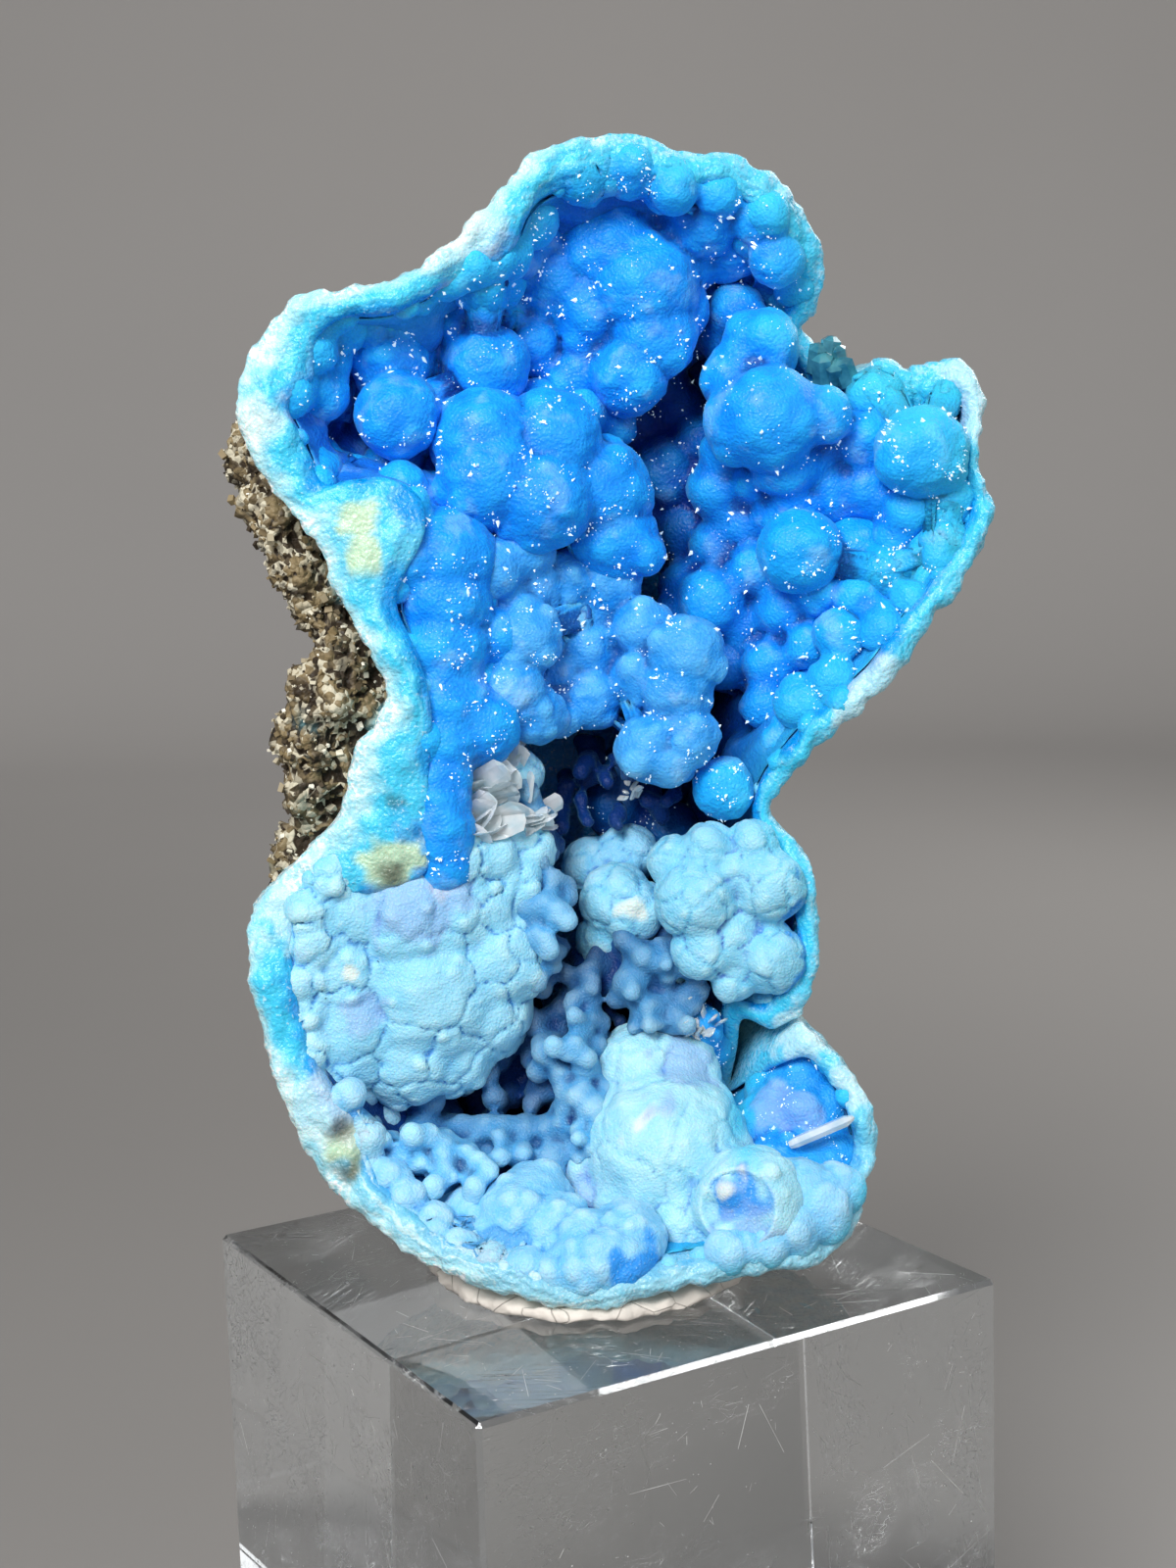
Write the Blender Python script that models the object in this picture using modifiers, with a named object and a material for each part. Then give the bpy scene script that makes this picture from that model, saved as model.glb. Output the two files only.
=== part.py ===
"""A hemimorphite specimen bedded in putty on a clear acrylic block.

The specimen is a broken hollow: a thin pale rind with brown host rock on its outside, lined with a crust
of blue balls and fingers.  Metres, +Z up.  The origin is the middle of the block's underside, and the
hollow's mouth faces -Y.

The hollow is laid out as it is seen from the front.  A point of it is given as (across, down, back):
across and down in a picture 1200 wide and 1600 high, and back in real millimetres behind the upright
plane through the block's middle.  seen() turns such a point into a place in the model.
"""

import math
import random

import bmesh
import bpy
import numpy as np
from mathutils import Vector

MM = 0.001

# Block: a two-inch cube of clear acrylic, turned a corner towards the front.
BLOCK_SIDE = 50.8 * MM
BLOCK_HEIGHT = 50.8 * MM
BLOCK_TURN = math.radians(31)
BLOCK_EDGE = 0.4 * MM

# Putty: a wedge, thin at the front and thick at the back.
PUTTY_ACROSS = 29.5 * MM
PUTTY_DEEP = 31.5 * MM
PUTTY_MIDDLE_Y = -0.4 * MM
PUTTY_FRONT = 1.3 * MM
PUTTY_BACK = 7.5 * MM
PUTTY_SIDES = 36

GAP = 0.3 * MM  # clear space between pieces that touch

# Where the front view is taken from, and how wide it is.
EYE = Vector((0.95 * MM, -188.4 * MM, BLOCK_HEIGHT + 69.4 * MM))
EYE_DIP = math.radians(8)
EYE_ROLL = math.radians(1.73)
FOCAL = 2222
PICTURE_MIDDLE = (600, 800)

# Shell: rings run from the mouth back to a spine, along a quarter of a rounded box.
SPINE_LOW = Vector((0 * MM, 25.5 * MM, BLOCK_HEIGHT + 22 * MM))
SPINE_HIGH = Vector((1.5 * MM, 27.5 * MM, BLOCK_HEIGHT + 74 * MM))
BACK_WALL = 3.6 * MM  # thickness of the shell at the spine
RING_ANGLES = tuple(math.radians(a) for a in (0, 10, 21, 33, 45, 57, 68, 78, 84))
SIDE_ROUNDNESS = 0.72
BACK_ROUNDNESS = 0.92

# Outer edge of the mouth: across, down, back.
RIM = (
    (302, 303, -2), (345, 294, -2), (400, 288, -2), (450, 256, -1), (500, 206, 0), (548, 153, 1),
    (600, 141, 2), (645, 134, 3), (700, 156, 4), (748, 157, 5), (800, 190, 6), (822, 215, 7),
    (842, 268, 9), (835, 312, 11), (820, 338, 13), (866, 374, 10), (908, 366, 8), (930, 402, 9),
    (948, 372, 7), (985, 372, 6), (1004, 412, 5), (998, 470, 4), (1015, 520, 3), (990, 582, 2),
    (945, 642, 1), (912, 692, 0), (880, 725, 0), (835, 762, 1), (798, 802, 3), (787, 830, 4),
    (808, 856, 3), (830, 888, 1), (836, 970, 0), (825, 1018, 0), (790, 1048, 1), (758, 1040, 3),
    (752, 1070, 6), (746, 1104, 8), (766, 1080, 4), (790, 1063, 1), (820, 1053, -1), (852, 1078, -2),
    (880, 1112, -3), (890, 1140, -4), (895, 1172, -4), (884, 1205, -6), (880, 1230, -7), (852, 1274, -10),
    (822, 1293, -12), (770, 1300, -13), (700, 1315, -14.3), (640, 1330, -15.2), (590, 1337, -15.5),
    (540, 1327, -15), (480, 1309, -13.6), (430, 1288, -12), (390, 1256, -10.5), (352, 1226, -9),
    (315, 1184, -8), (290, 1130, -8), (272, 1070, -7), (257, 1010, -7), (252, 950, -6), (264, 916, -5),
    (305, 876, -5), (345, 828, -5), (362, 770, -5), (396, 712, -5), (376, 668, -5), (342, 602, -4),
    (320, 550, -4), (275, 498, -3), (248, 445, -3), (242, 400, -3), (262, 350, -2),
)

# Inner edge of the rind, where the hollow starts: across, down, back.
HOLLOW = (
    (322, 350, -2), (345, 326, -2), (400, 320, -2), (440, 300, -1), (480, 282, 0), (520, 258, 0),
    (548, 205, 1), (600, 188, 2), (650, 182, 3), (700, 190, 4), (750, 198, 5), (785, 232, 6),
    (806, 275, 9), (800, 325, 12), (812, 372, 12), (855, 398, 10), (905, 392, 8), (930, 428, 8),
    (955, 400, 7), (980, 410, 6), (982, 470, 4), (992, 520, 3), (965, 575, 2), (925, 628, 1),
    (890, 678, 0), (860, 706, 0), (820, 742, 1), (782, 788, 3), (768, 832, 4), (790, 868, 3),
    (808, 905, 1), (814, 968, 0), (803, 1002, 0), (778, 1024, 1), (742, 1022, 3), (732, 1064, 6),
    (728, 1116, 8), (766, 1102, 4), (800, 1084, 0), (826, 1080, -1), (850, 1106, -2), (868, 1142, -4),
    (872, 1172, -4), (862, 1205, -6), (852, 1238, -7), (828, 1260, -10), (800, 1270, -12), (750, 1278, -13),
    (690, 1288, -14), (640, 1298, -15), (590, 1300, -15), (540, 1294, -15), (490, 1278, -13.5),
    (448, 1260, -12), (412, 1230, -10.5), (382, 1196, -9), (366, 1150, -8), (334, 1110, -8),
    (314, 1060, -7), (302, 1010, -7), (300, 960, -6), (330, 926, -5), (428, 896, -5), (442, 850, -5),
    (438, 790, -5), (440, 722, -5), (425, 668, -5), (404, 612, -4), (432, 545, -4), (424, 502, -3),
    (384, 486, -3), (345, 496, -3), (328, 492, -3), (308, 448, -3), (294, 414, -3), (318, 388, -2),
)

# Knobs fused to the outer edge: across, down, back, radius in millimetres.
RIM_KNOBS = (
    (300, 325, -1, 2.4), (330, 312, -1, 1.8), (262, 410, -1, 2.2), (372, 300, -1, 1.9), (430, 285, 0, 1.9),
    (500, 230, 1, 2.6), (540, 185, 2, 2.4), (585, 160, 3, 2.3), (640, 155, 4, 2.4), (700, 172, 5, 2.2),
    (748, 176, 6, 2.3), (790, 205, 7, 2.6), (828, 285, 9, 2.3), (845, 368, 15, 2.3), (898, 392, 9, 2.4),
    (962, 384, 7, 2.2), (993, 418, 6, 1.9), (1000, 525, 4, 2.2), (955, 600, 3, 2.4), (848, 738, 2, 2.4),
    (385, 530, -3, 3.8), (400, 575, -2.5, 3.0), (352, 520, -2.5, 3.0), (410, 830, -4.5, 3.4),
    (400, 870, -4.5, 3.3), (405, 765, -4, 2.8), (275, 950, -5, 2.2), (820, 1070, -1, 2.3), (872, 1130, -3, 2.0),
    (345, 1170, -8, 2.4), (825, 1005, 1, 2.2), (788, 1032, 2, 2.0), (815, 885, 2, 2.2),
)

# Balls of the crust, area by area: across, down, back, radius in millimetres.
ROOF = (
    (560, 175, 3, 2.6), (600, 170, 5, 3.0), (645, 168, 6, 3.0), (692, 192, 8, 3.4), (740, 192, 8, 3.4),
    (782, 226, 7, 3.0), (792, 272, 7, 2.1), (716, 218, 10, 3.5), (590, 214, 14, 3.6), (642, 224, 14, 3.6),
    (576, 272, 13, 4.0), (640, 270, 12, 4.4), (692, 290, 13, 3.8), (600, 312, 13, 3.4), (650, 332, 11, 3.8),
    (656, 376, 10, 3.5), (640, 396, 9, 2.4), (742, 254, 13, 3.4), (586, 396, 12, 3.2), (600, 364, 13, 3.4),
    (482, 286, 6, 4.1), (430, 314, 6, 3.2), (352, 346, 6, 2.9), (392, 336, 5, 3.2), (396, 372, 6, 3.7),
    (405, 425, 3, 3.7), (346, 386, 10, 3.1), (442, 344, 10, 3.0), (496, 380, 6, 3.7), (542, 350, 12, 3.2),
    (520, 326, 13, 3.0), (535, 300, 12, 3.0),
)
RIDGE = (
    (494, 448, 4, 4.6), (500, 488, 3, 4.8), (562, 450, 5, 4.6), (552, 510, 3, 4.6), (610, 502, 7, 4.8),
    (626, 550, 7, 4.0), (658, 566, 5, 1.7), (620, 596, 8, 3.2), (580, 590, 7, 2.7), (532, 562, 4, 3.0),
    (505, 582, 2, 2.6), (546, 598, 5, 2.4), (522, 612, 3, 1.8), (536, 650, 3, 3.4), (522, 702, 2, 3.1),
    (546, 730, 3, 2.6), (596, 622, 8, 2.8), (600, 660, 8, 3.2), (570, 682, 7, 2.4), (602, 712, 7, 3.0),
    (566, 728, 6, 2.4),
)
LEFT_WALL = (
    (416, 568, -1, 3.1), (455, 570, 1, 4.5), (396, 478, 8, 2.6), (452, 660, 0, 4.2), (506, 650, 2, 2.7),
    (456, 722, -0.5, 4.1), (492, 742, 0, 3.5), (447, 792, -2, 3.1), (450, 842, -3, 2.9), (455, 882, -3, 2.5),
)
RECESS = (
    (682, 482, 17, 3.5), (702, 542, 17, 3.2), (650, 442, 20, 3.6), (692, 422, 19, 3.0), (732, 500, 12, 2.8),
    (726, 614, 11, 3.2), (786, 680, 9, 2.6), (780, 350, 9, 3.8), (752, 388, 9, 3.3), (786, 428, 5, 4.7),
    (760, 430, 6, 3.8), (840, 424, 4, 2.6), (800, 470, 7, 3.4), (850, 500, 9, 3.2), (794, 520, 10, 2.6),
    (640, 790, 15, 3.0), (682, 850, 15, 3.2), (626, 822, 15, 3.0),
)
WING = (
    (896, 406, 8, 2.9), (940, 462, 3.5, 4.7), (968, 404, 7, 2.6), (976, 502, 5, 2.9), (816, 562, 5, 3.8),
    (856, 648, 4, 2.4), (872, 560, 8, 3.0), (900, 584, 6, 2.8), (958, 560, 4, 3.1), (928, 610, 3, 2.6),
    (850, 702, 3, 3.0), (820, 716, 4, 2.4), (802, 768, 5, 2.8), (738, 804, 5, 2.8), (762, 824, 5, 2.6),
)
HANGING_BALLS = (
    (656, 642, 6, 2.8), (700, 668, 4, 3.6), (690, 702, 4, 3.3), (662, 690, 6, 3.3), (662, 764, 3.5, 3.1),
    (700, 752, 3.5, 3.0), (682, 774, 3, 2.6),
)
CAULIFLOWER = (
    (706, 928, 0, 3.7), (720, 872, 1, 2.1), (746, 866, 1, 1.9), (776, 904, 0, 3.0), (736, 986, 0, 2.6),
    (782, 986, 0, 2.9), (700, 892, 1, 2.4), (814, 932, 4, 2.5), (818, 980, 4, 2.3), (808, 1008, 3, 2.1),
    (650, 930, 4, 3.2), (620, 922, 6, 3.4), (630, 962, 6, 2.8), (682, 988, 4, 2.5), (600, 880, 9, 2.6),
)
PALE_SLOPE = (
    (392, 934, -3, 3.4), (346, 926, -4, 3.0), (430, 1000, -2, 4.3), (346, 1030, -3.5, 3.0), (342, 984, -4, 2.6),
    (302, 1030, -5.5, 2.6), (416, 1070, -1, 2.8), (456, 1070, 0, 2.4), (500, 1022, 1, 2.8), (486, 930, 0, 3.3),
    (520, 900, 1, 3.2), (538, 868, 2, 2.5), (512, 962, 0, 3.3), (500, 828, 3, 3.2), (526, 790, 4, 2.4),
    (470, 800, 2, 2.6), (450, 930, -2, 3.0), (540, 930, 2, 2.4),
)
ONION_BALLS = (
    (692, 1162, -3.5, 7.4), (740, 1150, -7, 4.3), (650, 1190, -6, 4.2), (704, 1218, -7, 3.6), (664, 1092, 0, 3.8),
    (762, 1232, -9.5, 4.5), (720, 1262, -10, 3.2), (830, 1246, -8, 3.6), (846, 1210, -5, 3.0),
    (868, 1180, -4, 2.6), (848, 1118, -1, 3.0), (820, 1090, 0, 2.3), (792, 1126, 3, 2.5), (818, 1132, -2, 1.6),
    (790, 1180, 0, 2.6),
)
FLOOR = (
    (560, 1240, -6, 3.5), (524, 1250, -6, 2.6), (622, 1278, -11, 3.8), (664, 1290, -12, 3.0), (590, 1290, -12, 2.4),
    (470, 1272, -11, 1.8), (500, 1286, -12, 1.8), (540, 1284, -12, 2.0), (440, 1246, -9, 1.8),
    (414, 1222, -8, 1.8), (396, 1196, -7, 2.0), (374, 1160, -6, 1.8), (350, 1112, -6, 1.8),
)
CRUST_AREAS = (ROOF, RIDGE, LEFT_WALL, RECESS, WING, HANGING_BALLS, CAULIFLOWER, PALE_SLOPE, ONION_BALLS, FLOOR)

# Fingers of the lower hollow, as rows of beads: (across, down, back) at each end, radius in millimetres.
FINGERS = (
    ((522, 912, 1), (578, 940, -2), 1.15), ((524, 950, 0), (560, 968, -2), 0.95),
    ((520, 960, 0), (548, 1000, -1), 1.0), ((510, 1010, 2), (560, 1040, 3), 1.1),
    ((470, 1100, 2), (400, 1106, -1), 1.5), ((470, 1085, 2), (440, 1122, 0), 1.3),
    ((570, 1060, 8), (560, 1110, 2), 1.4), ((600, 1000, 6), (575, 1030, 3), 1.5),
    ((590, 1150, -2), (450, 1158, 0), 1.3), ((560, 1160, 0), (566, 1212, -3), 1.4),
    ((520, 1190, 4), (470, 1200, -1), 1.2), ((540, 1200, 3), (500, 1180, -2), 1.4),
    ((480, 1160, 6), (455, 1150, 1), 1.4), ((430, 1140, 2), (430, 1180, -3), 1.5),
    ((640, 960, 4), (660, 1030, 0), 1.4), ((620, 1010, 4), (690, 1040, 0), 1.4),
    ((600, 1060, 4), (604, 1130, -3), 1.3), ((460, 1220, 0), (440, 1190, -4), 1.8),
    ((500, 1100, 12), (520, 1080, 6), 1.7), ((560, 1130, 12), (540, 1100, 7), 1.6),
    ((600, 1040, 12), (590, 1090, 7), 1.5), ((470, 1140, 12), (490, 1120, 7), 1.6),
)
BEAD_STEP = 0.75  # of a bead's radius

# Host rock on the left: across, down, back, radius in millimetres.
ROCK = (
    (266, 478, 3, 2.0), (270, 505, 2, 2.3), (286, 538, 2, 2.7), (306, 576, 2, 2.7), (326, 620, 2.5, 2.6),
    (346, 670, 2, 3.0), (338, 712, 2, 4.0), (320, 756, 2.5, 3.6), (322, 794, 3, 3.0), (334, 822, 3, 1.8),
    (316, 850, 4, 1.9), (304, 880, 3, 1.9), (290, 900, 4, 1.6),
)
ROCK_ROWS = tuple(range(462, 890, 28))  # down, for the rock that runs round to the back
ROCK_ANGLES = (18, 30, 42, 54, 64, 74, 84)  # degrees round from the mouth towards the spine
ROCK_FEWEST = 4  # of those angles in any row
ROCK_RADIUS = 4.0 * MM

LINING = 1.5 * MM  # depth of crust over bare wall
FILL_BALLS = 150
FILL_RADIUS = (1.7 * MM, 3.0 * MM)
OUTSIDE_LUMPS = 90
OUTSIDE_RADIUS = (2.0 * MM, 4.0 * MM)
OUTSIDE_CLEAR = BLOCK_HEIGHT + 16 * MM  # no lumps under this height, where the putty is
FORWARD = 32 * MM  # how far the hollow's cutter runs out of the mouth

# Share of the fused skins' faces that is kept.
OUTSIDE_KEPT = 0.045
HOLLOW_KEPT = 0.028
CRUST_KEPT = 0.046
ROCK_KEPT = 0.075

RIND_COLOUR = (0.46, 0.78, 0.86, 1)
CRUST_COLOUR = (0.03, 0.36, 0.85, 1)
ROCK_COLOUR = (0.24, 0.19, 0.13, 1)
PUTTY_COLOUR = (0.82, 0.79, 0.73, 1)
ACRYLIC_COLOUR = (0.9, 0.93, 0.95, 1)


def clear_scene():
    for obj in list(bpy.data.objects):
        bpy.data.objects.remove(obj)


def collection(name):
    made = bpy.data.collections.new(name)
    bpy.context.scene.collection.children.link(made)
    return made


def material(name, colour, roughness, transmission=0.0):
    made = bpy.data.materials.new(name)
    made.use_nodes = True
    shader = made.node_tree.nodes["Principled BSDF"]
    shader.inputs["Base Color"].default_value = colour
    shader.inputs["Roughness"].default_value = roughness
    shader.inputs["Metallic"].default_value = 0.0
    shader.inputs["Transmission Weight"].default_value = transmission
    return made


def seen(across, down, back):
    """The place in the model, in metres, of a point given as it is seen from the front."""
    x, y = across - PICTURE_MIDDLE[0], down - PICTURE_MIDDLE[1]
    right = x * math.cos(EYE_ROLL) - y * math.sin(EYE_ROLL)
    fall = x * math.sin(EYE_ROLL) + y * math.cos(EYE_ROLL)
    ahead = FOCAL * math.cos(EYE_DIP) - fall * math.sin(EYE_DIP)
    below = FOCAL * math.sin(EYE_DIP) + fall * math.cos(EYE_DIP)
    return EYE + Vector((right, ahead, -below)) * ((back * MM - EYE.y) / ahead)


def spine_at(height):
    share = (height - SPINE_LOW.z) / (SPINE_HIGH.z - SPINE_LOW.z)
    return SPINE_LOW.lerp(SPINE_HIGH, min(1.0, max(0.0, share)))


def shell_point(edge, angle, short=0.0):
    """A point of the shell: from an edge point, angle round towards the spine; short stops before the spine."""
    spine = spine_at(edge.z)
    side = math.cos(angle) ** SIDE_ROUNDNESS
    deep = math.sin(angle) ** BACK_ROUNDNESS
    return Vector((
        spine.x + (edge.x - spine.x) * side,
        edge.y + (spine.y - short - edge.y) * deep,
        spine.z + (edge.z - spine.z) * side,
    ))


def inset(edge, by):
    """The closed edge moved inwards by a distance, square to itself as seen from the front."""
    moved = []
    for i, point in enumerate(edge):
        along = edge[(i + 1) % len(edge)] - edge[i - 1]
        inward = Vector((along.z, 0, -along.x)).normalized()
        moved.append(point + inward * by)
    return moved


def ring_solid(rings):
    """A closed solid through rings of equal count, flat at both ends, as points and faces."""
    count = len(rings[0])
    points = [tuple(point) for ring in rings for point in ring]
    faces = [tuple(range(count)), tuple(range(len(points) - count, len(points)))]
    for row in range(len(rings) - 1):
        for i in range(count):
            low, next_low = row * count + i, row * count + (i + 1) % count
            faces.append((low, next_low, next_low + count, low + count))
    return points, faces


def unit_ball(detail):
    bm = bmesh.new()
    bmesh.ops.create_icosphere(bm, subdivisions=detail, radius=1)
    points = np.array([vert.co for vert in bm.verts])
    faces = [tuple(vert.index for vert in face.verts) for face in bm.faces]
    bm.free()
    return points, faces


def object_of(solids, balls, name, home):
    """One object from closed solids (points and faces) and balls (centre, radius, detail)."""
    points, faces = [], []
    unit = {detail: unit_ball(detail) for detail in {ball[2] for ball in balls}}
    for centre, radius, detail in balls:
        solids = solids + [(unit[detail][0] * radius + np.array(centre), unit[detail][1])]
    for solid_points, solid_faces in solids:
        start = len(points)
        points.extend(tuple(point) for point in solid_points)
        faces.extend(tuple(start + i for i in face) for face in solid_faces)
    mesh = bpy.data.meshes.new(name)
    mesh.from_pydata(points, [], faces)
    bm = bmesh.new()
    bm.from_mesh(mesh)
    bmesh.ops.recalc_face_normals(bm, faces=bm.faces)
    bm.to_mesh(mesh)
    bm.free()
    made = bpy.data.objects.new(name, mesh)
    home.objects.link(made)
    return made


def lining(edge, out, thick):
    """A closed shell on the hollow's wall: out is how far it starts outside the wall."""
    outer, inner = inset(edge, -out), inset(edge, thick)
    skin = [[shell_point(p, a, BACK_WALL - out) for p in outer] for a in RING_ANGLES]
    inside = [[shell_point(p, a, BACK_WALL + thick) for p in inner] for a in RING_ANGLES]
    return ring_solid(skin[::-1] + inside)


def voxel_skin(obj, size, faces_kept):
    """Fuses an object's overlapping bodies into one skin, then thins its triangles to a share."""
    remesh = obj.modifiers.new("Fuse", "REMESH")
    remesh.mode = "VOXEL"
    remesh.voxel_size = size
    thin = obj.modifiers.new("Thin", "DECIMATE")
    thin.ratio = faces_kept
    thin.use_collapse_triangulate = True


def swell(obj, by):
    """Moves an object's skin outwards by a distance."""
    grow = obj.modifiers.new("Swell", "DISPLACE")
    grow.strength = by
    grow.mid_level = 0.0


def boolean(obj, operation, other):
    cut = obj.modifiers.new(operation.title(), "BOOLEAN")
    cut.operation = operation
    cut.object = other
    cut.solver = "EXACT"


def as_cutter(obj):
    obj.hide_render = True
    obj.display_type = "WIRE"
    return obj


def outer_body(home, name, spread=0.0):
    """The shell's outside as one solid, with the knobs of its rim and lumps on its back."""
    rim = [seen(*point) for point in RIM]
    middles = [spine_at(p.z) for p in rim]
    front = [Vector(((p.x + m.x) / 2, p.y, (p.z + m.z) / 2)) for p, m in zip(rim, middles)]
    rings = [front] + [[shell_point(p, a) for p in rim] for a in RING_ANGLES]
    balls = [(seen(*knob[:3]), knob[3] * MM, 2) for knob in RIM_KNOBS]
    chance = random.Random(11)
    for _ in range(OUTSIDE_LUMPS):
        place = shell_point(chance.choice(rim), math.radians(chance.uniform(12, 86)))
        radius = chance.uniform(*OUTSIDE_RADIUS)
        if place.z > OUTSIDE_CLEAR:
            inward = (spine_at(place.z) - place).normalized()
            balls.append((place + inward * radius * 0.55, radius, 2))
    made = object_of([ring_solid(rings)], balls, name, home)
    voxel_skin(made, 1.1 * MM, OUTSIDE_KEPT)
    swell(made, spread)
    return made


def hollow_body(home, name, by):
    """The hollow as a solid that runs out of the mouth, made smaller all over by a distance."""
    edge = [seen(*point) for point in HOLLOW]
    rings = [[shell_point(p, a, BACK_WALL) for p in edge] for a in RING_ANGLES]
    mouth = [Vector((p.x * 1.04, p.y - FORWARD, p.z)) for p in edge]
    made = as_cutter(object_of([ring_solid([mouth] + rings)], [], name, home))
    voxel_skin(made, 0.9 * MM, HOLLOW_KEPT)
    swell(made, -by)
    return made


def rooted_ball(across, down, back, radius):
    """A ball with a root of balls that runs straight back from it into the wall."""
    deepest = (SPINE_LOW.y - BACK_WALL) / MM
    steps = np.arange(back, deepest, radius * 0.8)
    return [(seen(across, down, float(depth)), radius * MM, 2) for depth in steps]


def finger(start, end, radius):
    a, b = seen(*start), seen(*end)
    count = max(2, round((b - a).length / (radius * MM * BEAD_STEP)))
    return [(a.lerp(b, i / count), radius * MM * (1 + 0.14 * math.sin(i * 2.1)), 1) for i in range(count + 1)]


def fill_balls():
    """Small balls spread over the hollow's wall between the large ones."""
    edge = [seen(*point) for point in HOLLOW]
    chance = random.Random(5)
    made = []
    for _ in range(FILL_BALLS):
        point = shell_point(chance.choice(edge), math.radians(chance.uniform(6, 84)), BACK_WALL)
        made.append((point, chance.uniform(*FILL_RADIUS), 2))
    return made


def make_crust(home, cutters):
    balls = fill_balls()
    for area in CRUST_AREAS:
        for ball in area:
            balls += rooted_ball(*ball)
    for start, end, radius in FINGERS:
        balls += finger(start, end, radius)
    base = lining([seen(*point) for point in HOLLOW], 1.5 * MM, LINING)
    crust = object_of([base], balls, "crust", home)
    voxel_skin(crust, 0.7 * MM, CRUST_KEPT)
    boolean(crust, "INTERSECT", hollow_body(cutters, "crust_limit", GAP))
    return crust


def make_rind(home, cutters):
    rind = outer_body(home, "rind")
    boolean(rind, "DIFFERENCE", hollow_body(cutters, "hollow", 0.0))
    return rind


def make_host_rock(home, clearance):
    """Rock along the left of the mouth, which runs round the outside to the back."""
    balls = [(seen(*lump[:3]), lump[3] * MM, 2) for lump in ROCK]
    rim = [seen(*point) for point in RIM]
    edge = [p.lerp(q, share / 4) for p, q in zip(rim, rim[1:] + rim[:1]) for share in range(4)]
    left = [p for p in edge if p.x < spine_at(p.z).x]
    chance = random.Random(3)
    for row in ROCK_ROWS:
        height = seen(300, row, 0).z
        start = min(left, key=lambda p: abs(p.z - height))
        for angle in ROCK_ANGLES[:chance.randint(ROCK_FEWEST, len(ROCK_ANGLES))]:
            place = shell_point(start, math.radians(angle + chance.uniform(-4, 4)))
            balls.append((place, ROCK_RADIUS * chance.uniform(0.7, 1.25), 2))
    rock = object_of([], balls, "host_rock", home)
    voxel_skin(rock, 1.0 * MM, ROCK_KEPT)
    boolean(rock, "DIFFERENCE", clearance)
    return rock


def make_putty(home, clearance):
    """A round wedge of putty, pressed to the shape of what stands in it."""
    turns = [math.tau * i / PUTTY_SIDES for i in range(PUTTY_SIDES)]
    low, high = [], []
    for turn in turns:
        x = PUTTY_ACROSS / 2 * math.sin(turn)
        y = PUTTY_MIDDLE_Y - PUTTY_DEEP / 2 * math.cos(turn)
        share = 0.5 - math.cos(turn) / 2
        thick = PUTTY_FRONT + (PUTTY_BACK - PUTTY_FRONT) * share ** 1.6
        low.append((x, y, BLOCK_HEIGHT + GAP))
        high.append((x * 0.98, y, BLOCK_HEIGHT + GAP + thick))
    putty = object_of([ring_solid([low, high])], [], "putty", home)
    boolean(putty, "DIFFERENCE", clearance)
    return putty


def make_block(home):
    bpy.ops.mesh.primitive_cube_add(size=1, location=(0, 0, BLOCK_HEIGHT / 2), rotation=(0, 0, BLOCK_TURN))
    block = bpy.context.object
    block.name = "acrylic_block"
    block.scale = (BLOCK_SIDE, BLOCK_SIDE, BLOCK_HEIGHT)
    bpy.ops.object.transform_apply(location=False, rotation=False, scale=True)
    bevel = block.modifiers.new("Edges", "BEVEL")
    bevel.width = BLOCK_EDGE
    bevel.segments = 1
    for holder in list(block.users_collection):
        holder.objects.unlink(block)
    home.objects.link(block)
    return block


def main():
    clear_scene()
    parts = collection("hemimorphite")
    cutters = collection("cutters")
    clearance = as_cutter(outer_body(cutters, "rind_clearance", GAP + 0.05 * MM))
    finishes = (
        (make_rind(parts, cutters), material("rind", RIND_COLOUR, 0.45)),
        (make_crust(parts, cutters), material("crust", CRUST_COLOUR, 0.3)),
        (make_host_rock(parts, clearance), material("host_rock", ROCK_COLOUR, 0.9)),
        (make_putty(parts, clearance), material("putty", PUTTY_COLOUR, 0.8)),
        (make_block(parts), material("acrylic", ACRYLIC_COLOUR, 0.05, transmission=1.0)),
    )
    for piece, finish in finishes:
        piece.data.materials.append(finish)


main()
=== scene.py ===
"""Builds the looks of a hemimorphite specimen on a clear acrylic block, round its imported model.

The hollow is laid out as it is seen from the front.  A point of it is given as (across, down, back):
across and down in a picture 1200 wide and 1600 high, and back in real millimetres behind the upright
plane through the block's middle.  seen() turns such points into places in the model.
"""

import bmesh
import bpy
import numpy as np
from bpy.props import FloatProperty, FloatVectorProperty, IntProperty, PointerProperty
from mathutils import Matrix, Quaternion, Vector


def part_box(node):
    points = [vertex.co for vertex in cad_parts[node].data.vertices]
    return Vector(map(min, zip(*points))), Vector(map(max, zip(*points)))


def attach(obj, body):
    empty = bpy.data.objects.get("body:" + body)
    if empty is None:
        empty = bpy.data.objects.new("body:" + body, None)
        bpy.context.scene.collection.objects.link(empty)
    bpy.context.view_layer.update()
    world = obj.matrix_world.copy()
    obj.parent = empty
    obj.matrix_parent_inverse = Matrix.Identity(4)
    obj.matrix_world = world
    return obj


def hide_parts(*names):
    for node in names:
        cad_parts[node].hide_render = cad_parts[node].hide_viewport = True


bl_info = {
    "name": "Hemimorphite specimen",
    "version": (1, 0, 0),
    "blender": (4, 5, 0),
    "location": "View3D > Sidebar > Hemimorphite",
    "description": "Crusted blue hollow of hemimorphite on a clear block",
    "category": "Object",
}

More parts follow.
